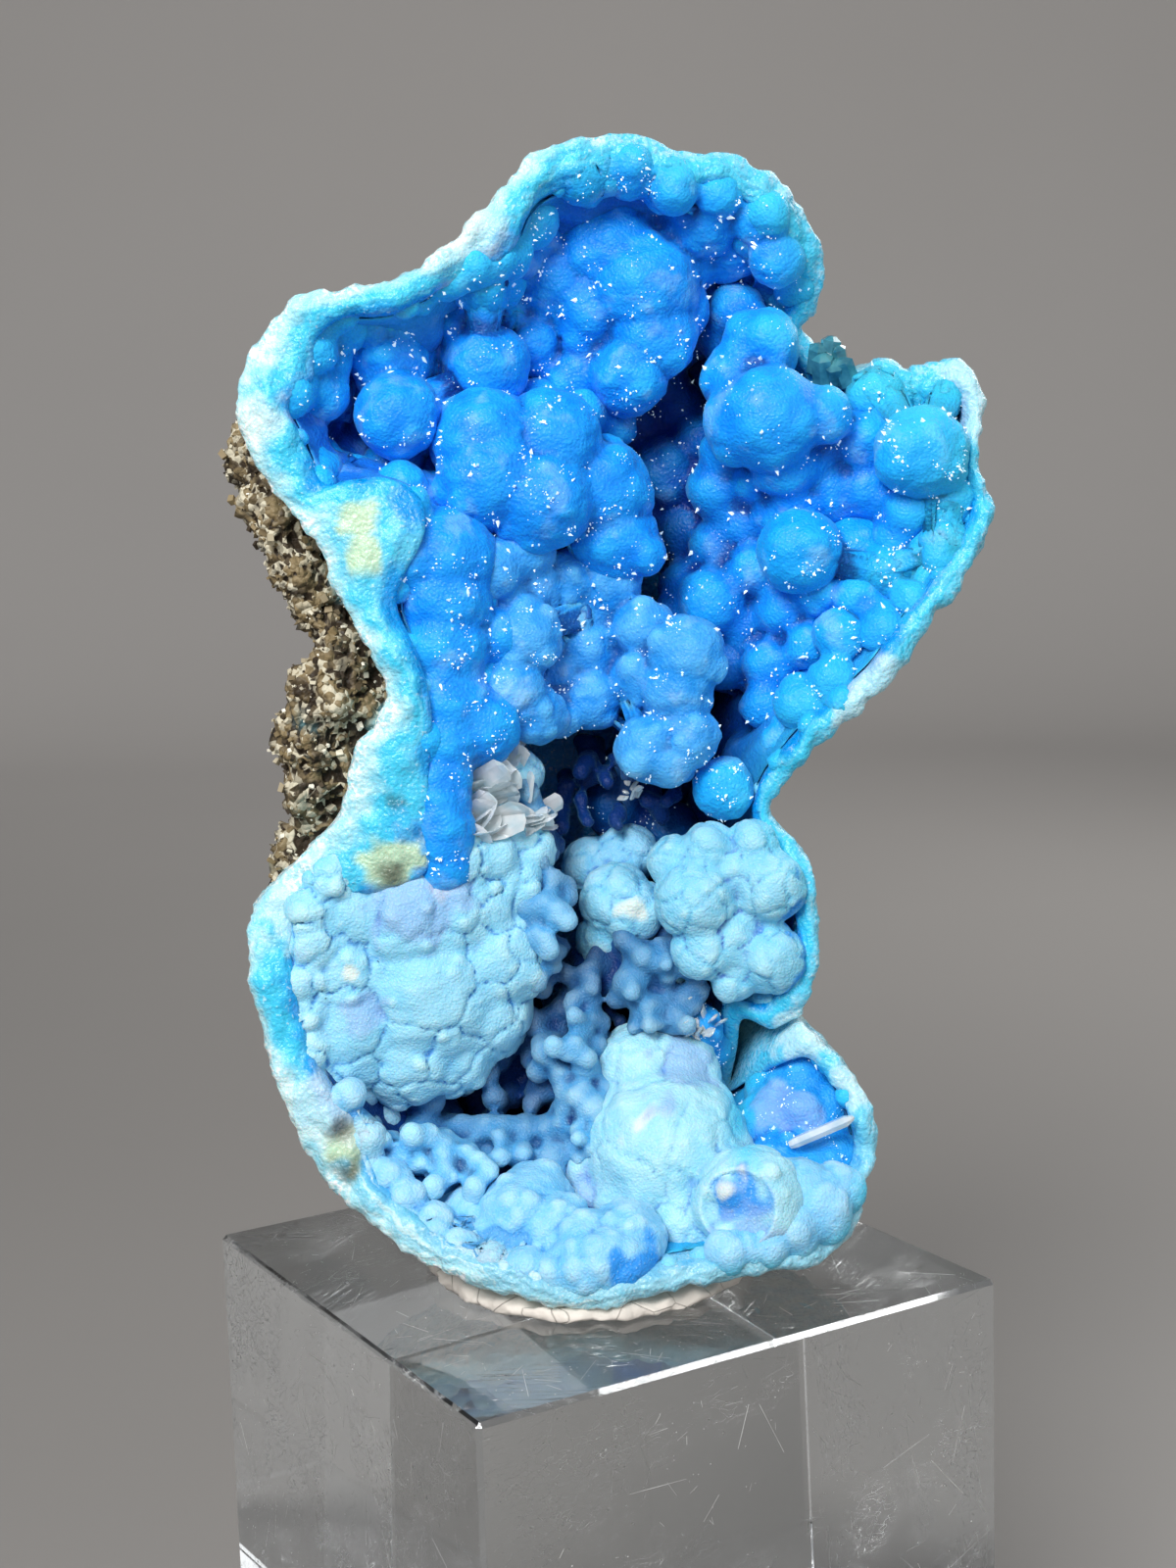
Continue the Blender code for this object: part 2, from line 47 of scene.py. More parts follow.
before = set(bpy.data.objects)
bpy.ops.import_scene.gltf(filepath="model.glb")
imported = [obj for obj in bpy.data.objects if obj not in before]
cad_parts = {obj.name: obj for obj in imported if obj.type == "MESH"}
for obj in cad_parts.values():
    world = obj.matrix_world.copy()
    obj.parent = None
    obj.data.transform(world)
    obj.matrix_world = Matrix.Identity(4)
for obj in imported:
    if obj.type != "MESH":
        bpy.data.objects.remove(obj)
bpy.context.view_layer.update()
MM = 0.001
BLOCK_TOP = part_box("acrylic_block")[1].z

# Where the front view is taken from, and how wide it is.
EYE = np.array((0.95, -188.4, BLOCK_TOP / MM + 69.4)) * MM
EYE_DIP = np.radians(8)
EYE_ROLL = float(np.radians(1.73))
FOCAL = 2222
PICTURE_MIDDLE = (600, 800)
LENS = 50

# Shell: it runs from the mouth back to a spine, along a quarter of a rounded box.
SPINE_LOW = np.array((0, 25.5, BLOCK_TOP / MM + 22)) * MM
SPINE_HIGH = np.array((1.5, 27.5, BLOCK_TOP / MM + 74)) * MM
BACK_WALL = 3.6 * MM
SIDE_ROUNDNESS = 0.72
BACK_ROUNDNESS = 0.92
NOTCH_FADE = 11 * MM
GOLDEN_ANGLE = 2.399963

# Outer edge of the mouth: across, down, back.
RIM = (
    (302, 303, -2), (345, 294, -2), (400, 288, -2), (450, 256, -1), (500, 206, 0), (548, 153, 1),
    (600, 141, 2), (645, 134, 3), (700, 156, 4), (748, 157, 5), (800, 190, 6), (822, 215, 7),
    (842, 268, 9), (835, 312, 11), (820, 338, 13), (866, 374, 10), (908, 366, 8), (930, 402, 9),
    (948, 372, 7), (985, 372, 6), (1004, 412, 5), (998, 470, 4), (1015, 520, 3), (990, 582, 2),
    (945, 642, 1), (912, 692, 0), (880, 725, 0), (835, 762, 1), (798, 802, 3), (787, 830, 4),
    (808, 856, 3), (830, 888, 1), (836, 970, 0), (825, 1018, 0), (790, 1048, 1), (758, 1040, 3),
    (752, 1070, 6), (746, 1104, 8), (766, 1080, 4), (790, 1063, 1), (820, 1053, -1), (852, 1078, -2),
    (880, 1112, -3), (890, 1140, -4), (895, 1172, -4), (884, 1205, -6), (880, 1230, -7), (852, 1274, -10),
    (822, 1293, -12), (770, 1300, -13), (700, 1315, -14.3), (640, 1330, -15.2), (590, 1337, -15.5),
    (540, 1327, -15), (480, 1309, -13.6), (430, 1288, -12), (390, 1256, -10.5), (352, 1226, -9),
    (315, 1184, -8), (290, 1130, -8), (272, 1070, -7), (257, 1010, -7), (252, 950, -6), (264, 916, -5),
    (305, 876, -5), (345, 828, -5), (362, 770, -5), (396, 712, -5), (376, 668, -5), (342, 602, -4),
    (320, 550, -4), (275, 498, -3), (248, 445, -3), (242, 400, -3), (262, 350, -2),
)

# Inner edge of the rind, where the hollow starts: across, down, back.
HOLLOW = (
    (322, 350, -2), (345, 326, -2), (400, 320, -2), (440, 300, -1), (480, 282, 0), (520, 258, 0),
    (548, 205, 1), (600, 188, 2), (650, 182, 3), (700, 190, 4), (750, 198, 5), (785, 232, 6),
    (806, 275, 9), (800, 325, 12), (812, 372, 12), (855, 398, 10), (905, 392, 8), (930, 428, 8),
    (955, 400, 7), (980, 410, 6), (982, 470, 4), (992, 520, 3), (965, 575, 2), (925, 628, 1),
    (890, 678, 0), (860, 706, 0), (820, 742, 1), (782, 788, 3), (768, 832, 4), (790, 868, 3),
    (808, 905, 1), (814, 968, 0), (803, 1002, 0), (778, 1024, 1), (742, 1022, 3), (732, 1064, 6),
    (728, 1116, 8), (766, 1102, 4), (800, 1084, 0), (826, 1080, -1), (850, 1106, -2), (868, 1142, -4),
    (872, 1172, -4), (862, 1205, -6), (852, 1238, -7), (828, 1260, -10), (800, 1270, -12), (750, 1278, -13),
    (690, 1288, -14), (640, 1298, -15), (590, 1300, -15), (540, 1294, -15), (490, 1278, -13.5),
    (448, 1260, -12), (412, 1230, -10.5), (382, 1196, -9), (366, 1150, -8), (334, 1110, -8),
    (314, 1060, -7), (302, 1010, -7), (300, 960, -6), (330, 926, -5), (428, 896, -5), (442, 850, -5),
    (438, 790, -5), (440, 722, -5), (425, 668, -5), (404, 612, -4), (432, 545, -4), (424, 502, -3),
    (384, 486, -3), (345, 496, -3), (328, 492, -3), (308, 448, -3), (294, 414, -3), (318, 388, -2),
)

# Points of the two edges that lie across the rind from each other: (place in RIM, place in HOLLOW).
ACROSS = (
    (0, 0), (3, 3), (5, 5.6), (8, 9), (11, 11.5), (14, 13.6), (17, 17), (20, 19.2), (22, 21), (25, 24),
    (28, 27),
    (29, 28), (32, 31), (35, 34), (37, 36), (40, 39), (44, 42), (47, 45), (50, 48), (53, 51), (56, 54),
    (59, 57), (62, 60), (63, 61), (65, 63), (67, 65), (69, 67), (70, 69), (71, 72), (73, 73.6), (75, 76),
)

# Balls of the crust, area by area: across, down, back, radius in millimetres.
ROOF = (
    (560, 178, 3, 2.6), (600, 172, 4, 3.0), (645, 168, 4, 3.0), (692, 186, 5, 3.4), (740, 190, 6, 3.2),
    (782, 222, 7, 3.0), (792, 262, 8, 2.6), (716, 222, 9, 3.8), (610, 204, 10, 3.4), (652, 206, 10, 3.6),
    (568, 284, 11, 4.6), (622, 256, 10, 4.6), (656, 292, 9, 5.0), (604, 314, 10, 4.0), (664, 342, 9, 4.2),
    (642, 382, 8.5, 3.6), (690, 262, 12, 4.0), (588, 388, 11, 3.4), (602, 352, 11, 3.4), (640, 400, 9.5, 2.4),
    (742, 250, 12, 3.4), (686, 316, 11, 3.4), (572, 232, 12, 3.6), (548, 250, 9, 2.8), (520, 272, 8, 2.4),
    (488, 290, 5, 4.2), (434, 312, 6, 3.3), (352, 346, 6, 2.9), (392, 336, 5, 3.2), (400, 370, 6, 3.7),
    (406, 424, 3, 3.8), (346, 386, 10, 3.1), (442, 350, 9, 3.2), (496, 374, 6, 3.9), (542, 350, 11, 3.4),
    (524, 316, 11, 3.2), (452, 392, 9, 2.8), (552, 318, 11, 2.8), (470, 332, 7, 2.4), (630, 222, 8, 1.8),
)
RIDGE = (
    (494, 448, 4, 4.6), (500, 488, 3, 4.8), (562, 450, 5, 4.6), (552, 510, 3, 4.6), (610, 502, 7, 4.8),
    (626, 550, 7, 4.0), (658, 566, 5, 1.7), (620, 596, 8, 3.2), (580, 590, 7, 2.7), (532, 562, 4, 3.0),
    (505, 582, 2, 2.6), (546, 598, 5, 2.4), (522, 612, 3, 1.8), (536, 650, 3, 3.4), (522, 702, 2, 3.1),
    (546, 730, 3, 2.6), (596, 622, 8, 2.8), (600, 660, 8, 3.2), (570, 682, 7, 2.4), (602, 712, 7, 3.0),
    (566, 728, 6, 2.4),
)
LEFT_WALL = (
    (416, 568, -1, 3.1), (455, 570, 1, 4.5), (396, 478, 8, 2.6), (454, 614, 0.4, 4.2), (452, 660, 0, 4.2),
    (506, 650, 2, 2.7), (454, 692, -0.3, 4.1), (456, 722, -0.5, 4.1), (492, 742, 0, 3.5),
    (452, 756, -1.2, 3.6),
    (447, 792, -2, 3.1), (448, 818, -2.4, 3.0), (450, 842, -3, 2.9), (452, 862, -3, 2.7), (455, 882, -3, 2.5),
)
RECESS = (
    (682, 482, 17, 3.5), (702, 542, 17, 3.2), (650, 442, 20, 3.6), (692, 422, 19, 3.0), (732, 500, 12, 2.8),
    (726, 614, 11, 3.2), (786, 680, 9, 2.6), (780, 350, 9, 3.8), (752, 388, 9, 3.3), (786, 428, 5, 4.7),
    (760, 430, 6, 3.8), (840, 424, 4, 2.6), (800, 470, 7, 3.4), (850, 500, 9, 3.2), (794, 520, 10, 2.6),
    (640, 790, 15, 3.0), (682, 850, 15, 3.2), (626, 822, 15, 3.0),
)
WING = (
    (896, 406, 8, 2.9), (940, 462, 3.5, 4.7), (968, 404, 7, 2.6), (976, 502, 5, 2.9), (816, 562, 5, 3.8),
    (856, 648, 4, 2.4), (872, 560, 8, 3.0), (900, 584, 6, 2.8), (958, 560, 4, 3.1), (928, 610, 3, 2.6),
    (850, 702, 3, 3.0), (820, 716, 4, 2.4), (802, 768, 5, 2.8), (738, 804, 5, 2.8), (762, 824, 5, 2.6),
)
FILL = (
    (640, 470, 21, 3.2), (668, 520, 19, 2.8), (672, 392, 19, 3.0), (716, 452, 16, 2.6), (740, 462, 11, 2.4),
    (772, 488, 10, 2.6), (758, 536, 12, 2.6), (734, 560, 13, 2.8), (770, 580, 10, 2.4), (812, 510, 8, 2.2),
    (880, 450, 7, 2.6), (884, 500, 8, 2.8), (842, 460, 8, 2.4), (836, 600, 7, 2.6), (800, 620, 9, 2.6),
    (826, 660, 7, 2.2), (760, 640, 12, 2.6), (740, 680, 12, 2.4), (780, 720, 8, 2.2), (900, 640, 3, 2.4),
    (876, 610, 5, 2.2), (928, 520, 5, 2.4), (914, 548, 6, 2.2), (700, 600, 14, 2.6), (690, 620, 13, 2.0),
    (364, 430, 12, 2.6), (336, 446, 11, 2.4), (372, 462, 12, 2.6), (412, 466, 8, 2.4), (440, 512, 6, 2.8),
    (450, 400, 9, 2.6), (454, 440, 8, 2.8), (432, 392, 10, 2.4), (466, 330, 9, 2.6), (622, 430, 13, 2.6),
    (548, 420, 9, 3.0), (590, 420, 10, 2.8), (470, 520, 4, 2.8), (480, 610, 2, 2.6), (486, 690, 2, 2.6),
    (700, 340, 18, 2.8), (724, 300, 16, 2.8), (752, 316, 13, 2.6), (740, 344, 15, 2.6), (690, 350, 20, 2.6),
)
HANGING_BALLS = (
    (656, 642, 6, 2.8), (700, 668, 4, 3.6), (690, 702, 4, 3.3), (662, 690, 6, 3.3), (662, 764, 3.5, 3.1),
    (700, 752, 3.5, 3.0), (682, 774, 3, 2.6),
)
CAULIFLOWER = (
    (709, 918, 0, 3.6), (717, 968, 0, 2.8), (722, 866, 1, 2.3), (768, 862, 1, 2.2), (786, 904, 0, 3.1),
    (750, 890, 1, 2.6), (786, 977, 0, 3.1), (744, 960, 0, 2.4), (748, 1000, 0, 1.9), (690, 880, 2, 2.4),
    (812, 930, 4, 2.4), (818, 980, 4, 2.3), (800, 1018, 2, 2.0), (629, 918, 5, 3.3), (646, 930, 4, 3.0),
    (620, 960, 6, 2.8), (682, 992, 3, 1.9), (604, 884, 9, 2.8), (640, 872, 9, 2.8), (764, 935, 1, 2.2),
)
PALE_SLOPE = (
    (431, 1000, 2.4, 8.5), (360, 1039, -0.6, 5.6), (353, 988, -1.4, 4.8), (417, 930, 0.6, 6.6),
    (455, 925, 1.2, 6.0),
    (350, 930, -1.0, 5.0), (417, 1066, 0.4, 5.4), (456, 1066, 1.2, 4.6), (500, 975, 1.4, 5.2),
    (490, 1030, 1.2, 4.6),
    (488, 926, 0, 3.4), (342, 1082, -3.6, 2.4), (372, 1084, -2.4, 2.2), (318, 962, -5.0, 2.2),
    (310, 1030, -4.6, 2.4),
    (308, 1000, -5.2, 2.0), (316, 1070, -5.4, 2.0), (520, 900, 1.2, 3.0), (538, 868, 2, 2.4),
    (500, 828, 3, 3.2),
    (526, 790, 4, 2.4), (470, 806, 2, 2.6), (540, 935, 2, 2.4), (524, 948, 1, 2.2), (512, 1010, 1, 2.4),
    (318, 928, -4.6, 2.4), (336, 896, -4.4, 2.2), (470, 880, -1.2, 3.0), (502, 872, 0.4, 2.8),
)
ONION_BALLS = (
    (680, 1172, -2.2, 8.8), (731, 1146, -4.8, 4.6), (706, 1152, -5.4, 4.8), (655, 1094, 1.0, 4.4),
    (692, 1098, 1.0, 3.8),
    (716, 1114, 0, 3.0), (642, 1222, -4.8, 3.2), (664, 1226, -5.8, 3.2), (694, 1226, -6.6, 3.2),
    (720, 1216, -6.8, 3.2),
    (764, 1226, -9.6, 5.0), (606, 1150, -1.4, 2.4), (600, 1190, -2.4, 2.2), (612, 1220, -3.6, 2.2),
    (700, 1250, -8.0, 3.0),
    (730, 1262, -9.0, 3.0), (735, 1180, -6.4, 3.4), (596, 1120, 0.4, 1.8),
)
LOW_WING = (
    (745, 1112, 5, 3.6), (766, 1134, 3, 4.0), (762, 1168, 0.5, 3.6), (796, 1150, 1.4, 4.2),
    (830, 1160, 0, 3.8),
    (796, 1196, -2.4, 3.8), (826, 1206, -3.6, 3.8), (848, 1180, -2.6, 3.0), (846, 1130, 0.6, 2.8),
    (818, 1104, 2.0, 3.0),
    (788, 1112, 3.4, 2.8), (818, 1132, -1.2, 1.9), (790, 1128, 1.0, 2.2), (838, 1228, -5.6, 3.2),
    (724, 1066, 5.5, 2.6),
    (738, 1044, 5.0, 2.4), (708, 1050, 3.0, 2.6), (690, 1066, 3.4, 2.4),
)
WING_FOOT = (
    (806, 1252, -10.6, 3.8), (834, 1236, -9.2, 3.4), (782, 1266, -12.0, 3.4), (742, 1276, -12.8, 3.2),
    (854, 1214, -7.4, 2.6),
    (812, 1224, -8.0, 3.6), (764, 1272, -12.4, 3.2),
)
FLOOR = (
    (530, 1244, -8.0, 4.4), (498, 1258, -8.8, 3.2), (566, 1256, -9.2, 3.4), (545, 1226, -6, 3.4),
    (480, 1240, -6.6, 2.6),
    (590, 1294, -13.6, 3.2), (612, 1288, -13.6, 3.6), (638, 1288, -13.4, 3.6), (662, 1292, -13.0, 3.4),
    (684, 1296, -12.8, 3.0), (640, 1266, -11.0, 3.4), (600, 1270, -11.4, 3.0), (706, 1290, -12.8, 2.6),
    (466, 1274, -11.4, 2.0), (500, 1288, -12.8, 2.4), (536, 1294, -13.6, 2.6), (440, 1252, -9.8, 2.0),
    (564, 1300, -14.0, 2.4),
    (414, 1226, -8.8, 1.8), (396, 1200, -7.6, 1.8), (374, 1164, -7.0, 1.5), (352, 1120, -6.8, 1.5),
)

# Fingers of the lower hollow: (across, down, back) at each end, radius in millimetres.
FINGERS = (
    ((522, 912, 1), (578, 940, -2), 1.15), ((524, 950, 0), (560, 968, -2), 0.95),
    ((520, 960, 0), (548, 1000, -1), 1.0), ((510, 1010, 2), (560, 1040, 3), 1.1),
    ((470, 1100, 2), (400, 1106, -1), 1.5), ((470, 1085, 2), (440, 1122, 0), 1.3),
    ((570, 1060, 8), (560, 1110, 2), 1.4), ((600, 1000, 6), (575, 1030, 3), 1.5),
    ((590, 1150, -2), (450, 1158, 0), 1.3), ((560, 1160, 0), (566, 1212, -3), 1.4),
    ((520, 1190, 4), (470, 1200, -1), 1.2), ((540, 1200, 3), (500, 1180, -2), 1.4),
    ((480, 1160, 6), (455, 1150, 1), 1.4), ((430, 1140, 2), (430, 1180, -3), 1.5),
    ((640, 960, 4), (660, 1030, 0), 1.4), ((620, 1010, 4), (690, 1040, 0), 1.4),
    ((600, 1060, 4), (604, 1130, -3), 1.3), ((460, 1220, 0), (440, 1190, -4), 1.8),
    ((500, 1100, 12), (520, 1080, 6), 1.7), ((560, 1130, 12), (540, 1100, 7), 1.6),
    ((600, 1040, 12), (590, 1090, 7), 1.5), ((470, 1140, 12), (490, 1120, 7), 1.6),
)
# Thickets of small fingers: middle, half width and height, back from and to, lean, count, longest, radius.
THICKETS = (
    ((520, 930), (40, 75), (0, 4), (0.9, 0.15), 46, 2.4, 0.85),
    ((530, 830), (35, 45), (2, 6), (0.5, 0.3), 22, 1.8, 0.8),
    ((505, 1120), (95, 75), (0, 9), (-0.3, 0.2), 66, 4.4, 0.92),
    ((650, 1005), (60, 45), (0, 5), (0.1, 0.6), 40, 2.4, 0.9),
    ((430, 1215), (70, 60), (-7, 1), (0.2, 0.1), 60, 1.6, 0.85),
    ((625, 800), (60, 40), (6, 13), (0.1, 0.3), 18, 2.2, 0.9),
    ((380, 1130), (45, 50), (-4, 1), (0.5, 0.1), 30, 1.8, 0.85),
    ((600, 1110), (20, 70), (-3, 3), (-0.7, 0.3), 20, 2.4, 1.0),
    ((480, 1200), (60, 30), (-6, -1), (0.1, -0.4), 16, 3.0, 1.0),
    ((610, 1185), (14, 60), (-5, 0), (-0.7, 0.1), 22, 1.4, 0.8),
)

# Host rock on the left: across, down, back, radius in millimetres.
ROCK = (
    (266, 478, 3, 2.0), (270, 505, 2, 2.3), (286, 538, 2, 2.7), (306, 576, 2, 2.7), (326, 620, 2.5, 2.6),
    (346, 670, 2, 3.0), (338, 712, 2, 4.0), (320, 756, 2.5, 3.6), (322, 794, 3, 3.0), (334, 822, 3, 1.8),
    (316, 850, 4, 1.9), (304, 880, 3, 1.9), (290, 900, 4, 1.6),
)
ROCK_ROWS = tuple(range(462, 890, 28))
ROCK_ANGLES = (18, 30, 42, 54, 64, 74, 84)
ROCK_FEWEST = 4
ROCK_RADIUS = 4.0 * MM


# ---- numbers and shapes ----


def seen(points):
    """Places in the model of points seen from the front: each is pushed along its line of sight to its
    depth."""
    points = np.atleast_2d(np.asarray(points, float))
    x, y = points[:, 0] - PICTURE_MIDDLE[0], points[:, 1] - PICTURE_MIDDLE[1]
    right = x * np.cos(EYE_ROLL) - y * np.sin(EYE_ROLL)
    fall = x * np.sin(EYE_ROLL) + y * np.cos(EYE_ROLL)
    ahead = FOCAL * np.cos(EYE_DIP) - fall * np.sin(EYE_DIP)
    below = FOCAL * np.sin(EYE_DIP) + fall * np.cos(EYE_DIP)
    reach = (points[:, 2] * MM - EYE[1]) / ahead
    return EYE + np.stack((right * reach, ahead * reach, -below * reach), axis=1)


def closed_curve(points, stations):
    """A smooth closed curve through points: a Catmull-Rom cubic between each pair, at stations counted in
    points."""
    count = len(points)
    at = np.floor(stations).astype(int)
    t = (stations - at)[:, None]
    a, b, c, d = (points[(at + k) % count] for k in (-1, 0, 1, 2))
    return 0.5 * (2 * b + (c - a) * t + (2 * a - 5 * b + 4 * c - d) * t**2 + (3 * b - a - 3 * c + d) * t**3)


def matched_edges(count):
    """The rim's and the hollow's edges at the same count of stations, matched where ACROSS says."""
    rim, hollow = seen(RIM), seen(HOLLOW)
    marks = np.array(ACROSS + ((ACROSS[0][0] + len(RIM), ACROSS[0][1] + len(HOLLOW)),), float)
    steps = np.linalg.norm(np.diff(np.vstack((rim, rim[:1])), axis=0), axis=1)
    run = np.concatenate(((0,), np.cumsum(steps)))
    mark_run = np.interp(marks[:, 0], np.arange(len(run)), run)
    run_at = np.linspace(0, run[-1], count, endpoint=False)
    rim_at = np.interp(run_at, run, np.arange(len(run)))
    hollow_at = np.interp(run_at, mark_run, marks[:, 1])
    return closed_curve(rim, rim_at), closed_curve(hollow, hollow_at), run_at


def spine_at(height):
    """The place on the shell's upright middle line at a height, held at the line's ends."""
    share = np.clip((height - SPINE_LOW[2]) / (SPINE_HIGH[2] - SPINE_LOW[2]), 0, 1)
    return SPINE_LOW + (SPINE_HIGH - SPINE_LOW) * share[..., None]


def shell_rows(edge, angles, short=0.0):
    """Rows of the shell from an edge towards its spine: each row is a turn along a quarter of a rounded box.
    A whole edge's notches fade out on the way to the back."""
    edges = np.repeat(edge[None], len(angles), axis=0)
    if len(edge) > 1:
        run = np.linalg.norm(np.diff(edge, axis=0, append=edge[:1]), axis=1).sum()
        spread = NOTCH_FADE * smooth(np.radians(22), np.radians(80), angles)
        order = np.arange(len(edge) // 2 + 1)
        kept = np.exp(-2 * (np.pi * order[None] * spread[:, None] / run) ** 2)
        edges = np.fft.irfft(np.fft.rfft(edges, axis=1) * kept[..., None], len(edge), axis=1)
    spine = spine_at(edges[..., 2])
    side = (np.cos(angles) ** SIDE_ROUNDNESS)[:, None]
    deep = (np.sin(angles) ** BACK_ROUNDNESS)[:, None]
    rows = spine + (edges - spine) * side[..., None]
    rows[..., 1] = edges[..., 1] + (spine[..., 1] - short - edges[..., 1]) * deep
    return rows


def waves(points, size, seed, count=18):
    """A smooth random field from about -1 to 1: the sum of plane waves of one size in random directions."""
    chance = np.random.default_rng(seed)
    ways = chance.normal(size=(count, 3))
    ways *= (2 * np.pi / size) * chance.uniform(0.7, 1.4, (count, 1)) / np.linalg.norm(ways, axis=1)[:, None]
    phases = chance.uniform(0, 2 * np.pi, count)
    total = np.zeros(points.shape[:-1])
    for way, phase in zip(ways, phases):
        total += np.sin(points @ way + phase)
    return total / np.sqrt(count)


def smooth(low, high, value):
    """0 below low, 1 above high, and an S-shaped rise between them."""
    share = np.clip((value - low) / (high - low), 0, 1)
    return share * share * (3 - 2 * share)


def grid_normals(rows):
    """Unit normals of a grid of points that is closed across its columns."""
    across = np.roll(rows, -1, axis=1) - np.roll(rows, 1, axis=1)
    along = np.gradient(rows, axis=0)
    normals = np.cross(along, across)
    return normals / np.maximum(np.linalg.norm(normals, axis=2, keepdims=True), 1e-12)


def lumped(points, normals, centres, radii):
    """How far each point moves along its normal to reach the highest ball over it."""
    height = np.zeros(points.shape[:-1])
    for centre, radius in zip(centres, radii):
        to = centre - points
        near = (to * to).sum(-1) < (radius * 1.8) ** 2
        to_near, normal = to[near], normals[near]
        along = (to_near * normal).sum(-1)
        room = radius**2 - (to_near * to_near).sum(-1) + along**2
        reach = np.where(room > 0, along + np.sqrt(np.maximum(room, 0)), 0)
        height[near] = np.maximum(height[near], reach)
    return height


def wall_samples():
    """Points spread over the rind's outer skin, run forward out of the mouth; normals face the hollow."""
    rim, _, _ = matched_edges(260)
    rows = shell_rows(rim, np.radians(np.linspace(0, 88, 40)))
    reach = 1 - 0.9 * smooth(1 * MM, 5 * MM, rim[:, 1])
    mouth = np.linspace(14, 1, 8)[:, None, None] * MM * reach[None, :, None]
    rows = np.concatenate((rows[:1] - mouth * np.array((0.0, 1.0, 0.0)), rows))
    normals = grid_normals(rows)
    into = spine_at(rows[..., 2]) - rows
    into[..., 1] = 0
    if (normals[8:30] * into[8:30]).sum() < 0:
        normals = -normals
    return rows.reshape(-1, 3), normals.reshape(-1, 3)


def kept_inside(centres, radii, depth):
    """Balls shrunk so that each stays a depth inside the outer skin; those left too small are dropped."""
    wall, normals = wall_samples()
    room = np.empty(len(centres))
    for start in range(0, len(centres), 400):
        some = centres[start:start + 400]
        nearest = ((some[:, None] - wall[None]) ** 2).sum(2).argmin(1)
        room[start:start + 400] = ((some - wall[nearest]) * normals[nearest]).sum(1)
    wanted, radii = radii, np.minimum(radii, room - depth)
    keep = radii > np.maximum(0.55 * wanted, 0.4 * MM)
    return centres[keep], radii[keep]


def unit_ball(rings, sectors):
    """A unit ball as a function of latitude and longitude, closed by one point at each pole."""
    latitude = np.linspace(0, np.pi, rings + 1)[1:-1, None]
    longitude = np.linspace(0, 2 * np.pi, sectors, endpoint=False)[None]
    around = np.stack((
        np.sin(latitude) * np.cos(longitude), np.sin(latitude) * np.sin(longitude),
        np.cos(latitude) + 0 * longitude,
    ), axis=2).reshape(-1, 3)
    points = np.vstack((around, ((0, 0, 1), (0, 0, -1))))
    top, bottom = len(around), len(around) + 1
    index = np.arange(top).reshape(rings - 1, sectors)
    right = np.roll(index, -1, axis=1)
    body = np.stack((index[:-1], index[1:], right[1:], right[:-1]), axis=2).reshape(-1, 4)
    caps = [(top, a, b) for a, b in zip(index[0], right[0])]
    caps += [(bottom, b, a) for a, b in zip(index[-1], right[-1])]
    return points, [tuple(face) for face in body] + caps


def unit_cube():
    """The corners of a cube from -1 to 1, and its six faces."""
    corners = np.array([(x, y, z) for x in (-1, 1) for y in (-1, 1) for z in (-1, 1)], float)
    return corners, [(0, 1, 3, 2), (4, 6, 7, 5), (0, 4, 5, 1), (2, 3, 7, 6), (0, 2, 6, 4), (1, 5, 7, 3)]


def copies(points, faces, places, sizes, frames=None):
    """Copies of one small shape: scaled, turned by a frame of three axes each, and moved."""
    scaled = points[None] * np.asarray(sizes).reshape(len(places), -1)[:, None, :]
    if frames is not None:
        scaled = np.einsum("nik,nkj->nij", scaled, frames)
    moved = (scaled + np.asarray(places)[:, None]).reshape(-1, 3)
    step = len(points)
    return moved, [tuple(i + step * k for i in face) for k in range(len(places)) for face in faces]


def grid_faces(rows, columns):
    """Quads of a grid that is closed across its columns, and an n-sided cap at each end."""
    index = np.arange(rows * columns).reshape(rows, columns)
    right = np.roll(index, -1, axis=1)
    body = np.stack((index[:-1], index[1:], right[1:], right[:-1]), axis=2).reshape(-1, 4)
    return [tuple(face) for face in body] + [tuple(index[0]), tuple(index[-1][::-1])]


def frames_along(directions, twist):
    """Three square axes for each direction, the third along it, turned about it by a twist."""
    along = directions / np.linalg.norm(directions, axis=1)[:, None]
    helper = np.where(np.abs(along[:, 2:]) > 0.9, ((1.0, 0, 0),), ((0, 0, 1.0),))
    side = np.cross(helper, along)
    side /= np.linalg.norm(side, axis=1)[:, None]
    other = np.cross(along, side)
    c, s = np.cos(twist)[:, None], np.sin(twist)[:, None]
    return np.stack((side * c + other * s, other * c - side * s, along), axis=1)


# ---- meshes ----


def mesh_object(name, points, faces, smooth_shaded=True):
    """A new object in the scene, made of points and faces."""
    mesh = bpy.data.meshes.new(name)
    mesh.from_pydata(points.tolist(), [], faces)
    mesh.update()
    if smooth_shaded:
        mesh.shade_smooth()
    made = bpy.data.objects.new(name, mesh)
    bpy.context.scene.collection.objects.link(made)
    return made


def face_outwards(obj):
    """Turns the front of each face to the outside."""
    bm = bmesh.new()
    bm.from_mesh(obj.data)
    bmesh.ops.recalc_face_normals(bm, faces=bm.faces)
    bm.to_mesh(obj.data)
    bm.free()


def apply_modifiers(obj):
    """Puts the mesh that the modifiers make in place of the object's own mesh."""
    graph = bpy.context.evaluated_depsgraph_get()
    made = bpy.data.meshes.new_from_object(obj.evaluated_get(graph))
    old = obj.data
    obj.modifiers.clear()
    obj.data = made
    made.name = old.name
    bpy.data.meshes.remove(old)
    obj.data.shade_smooth()


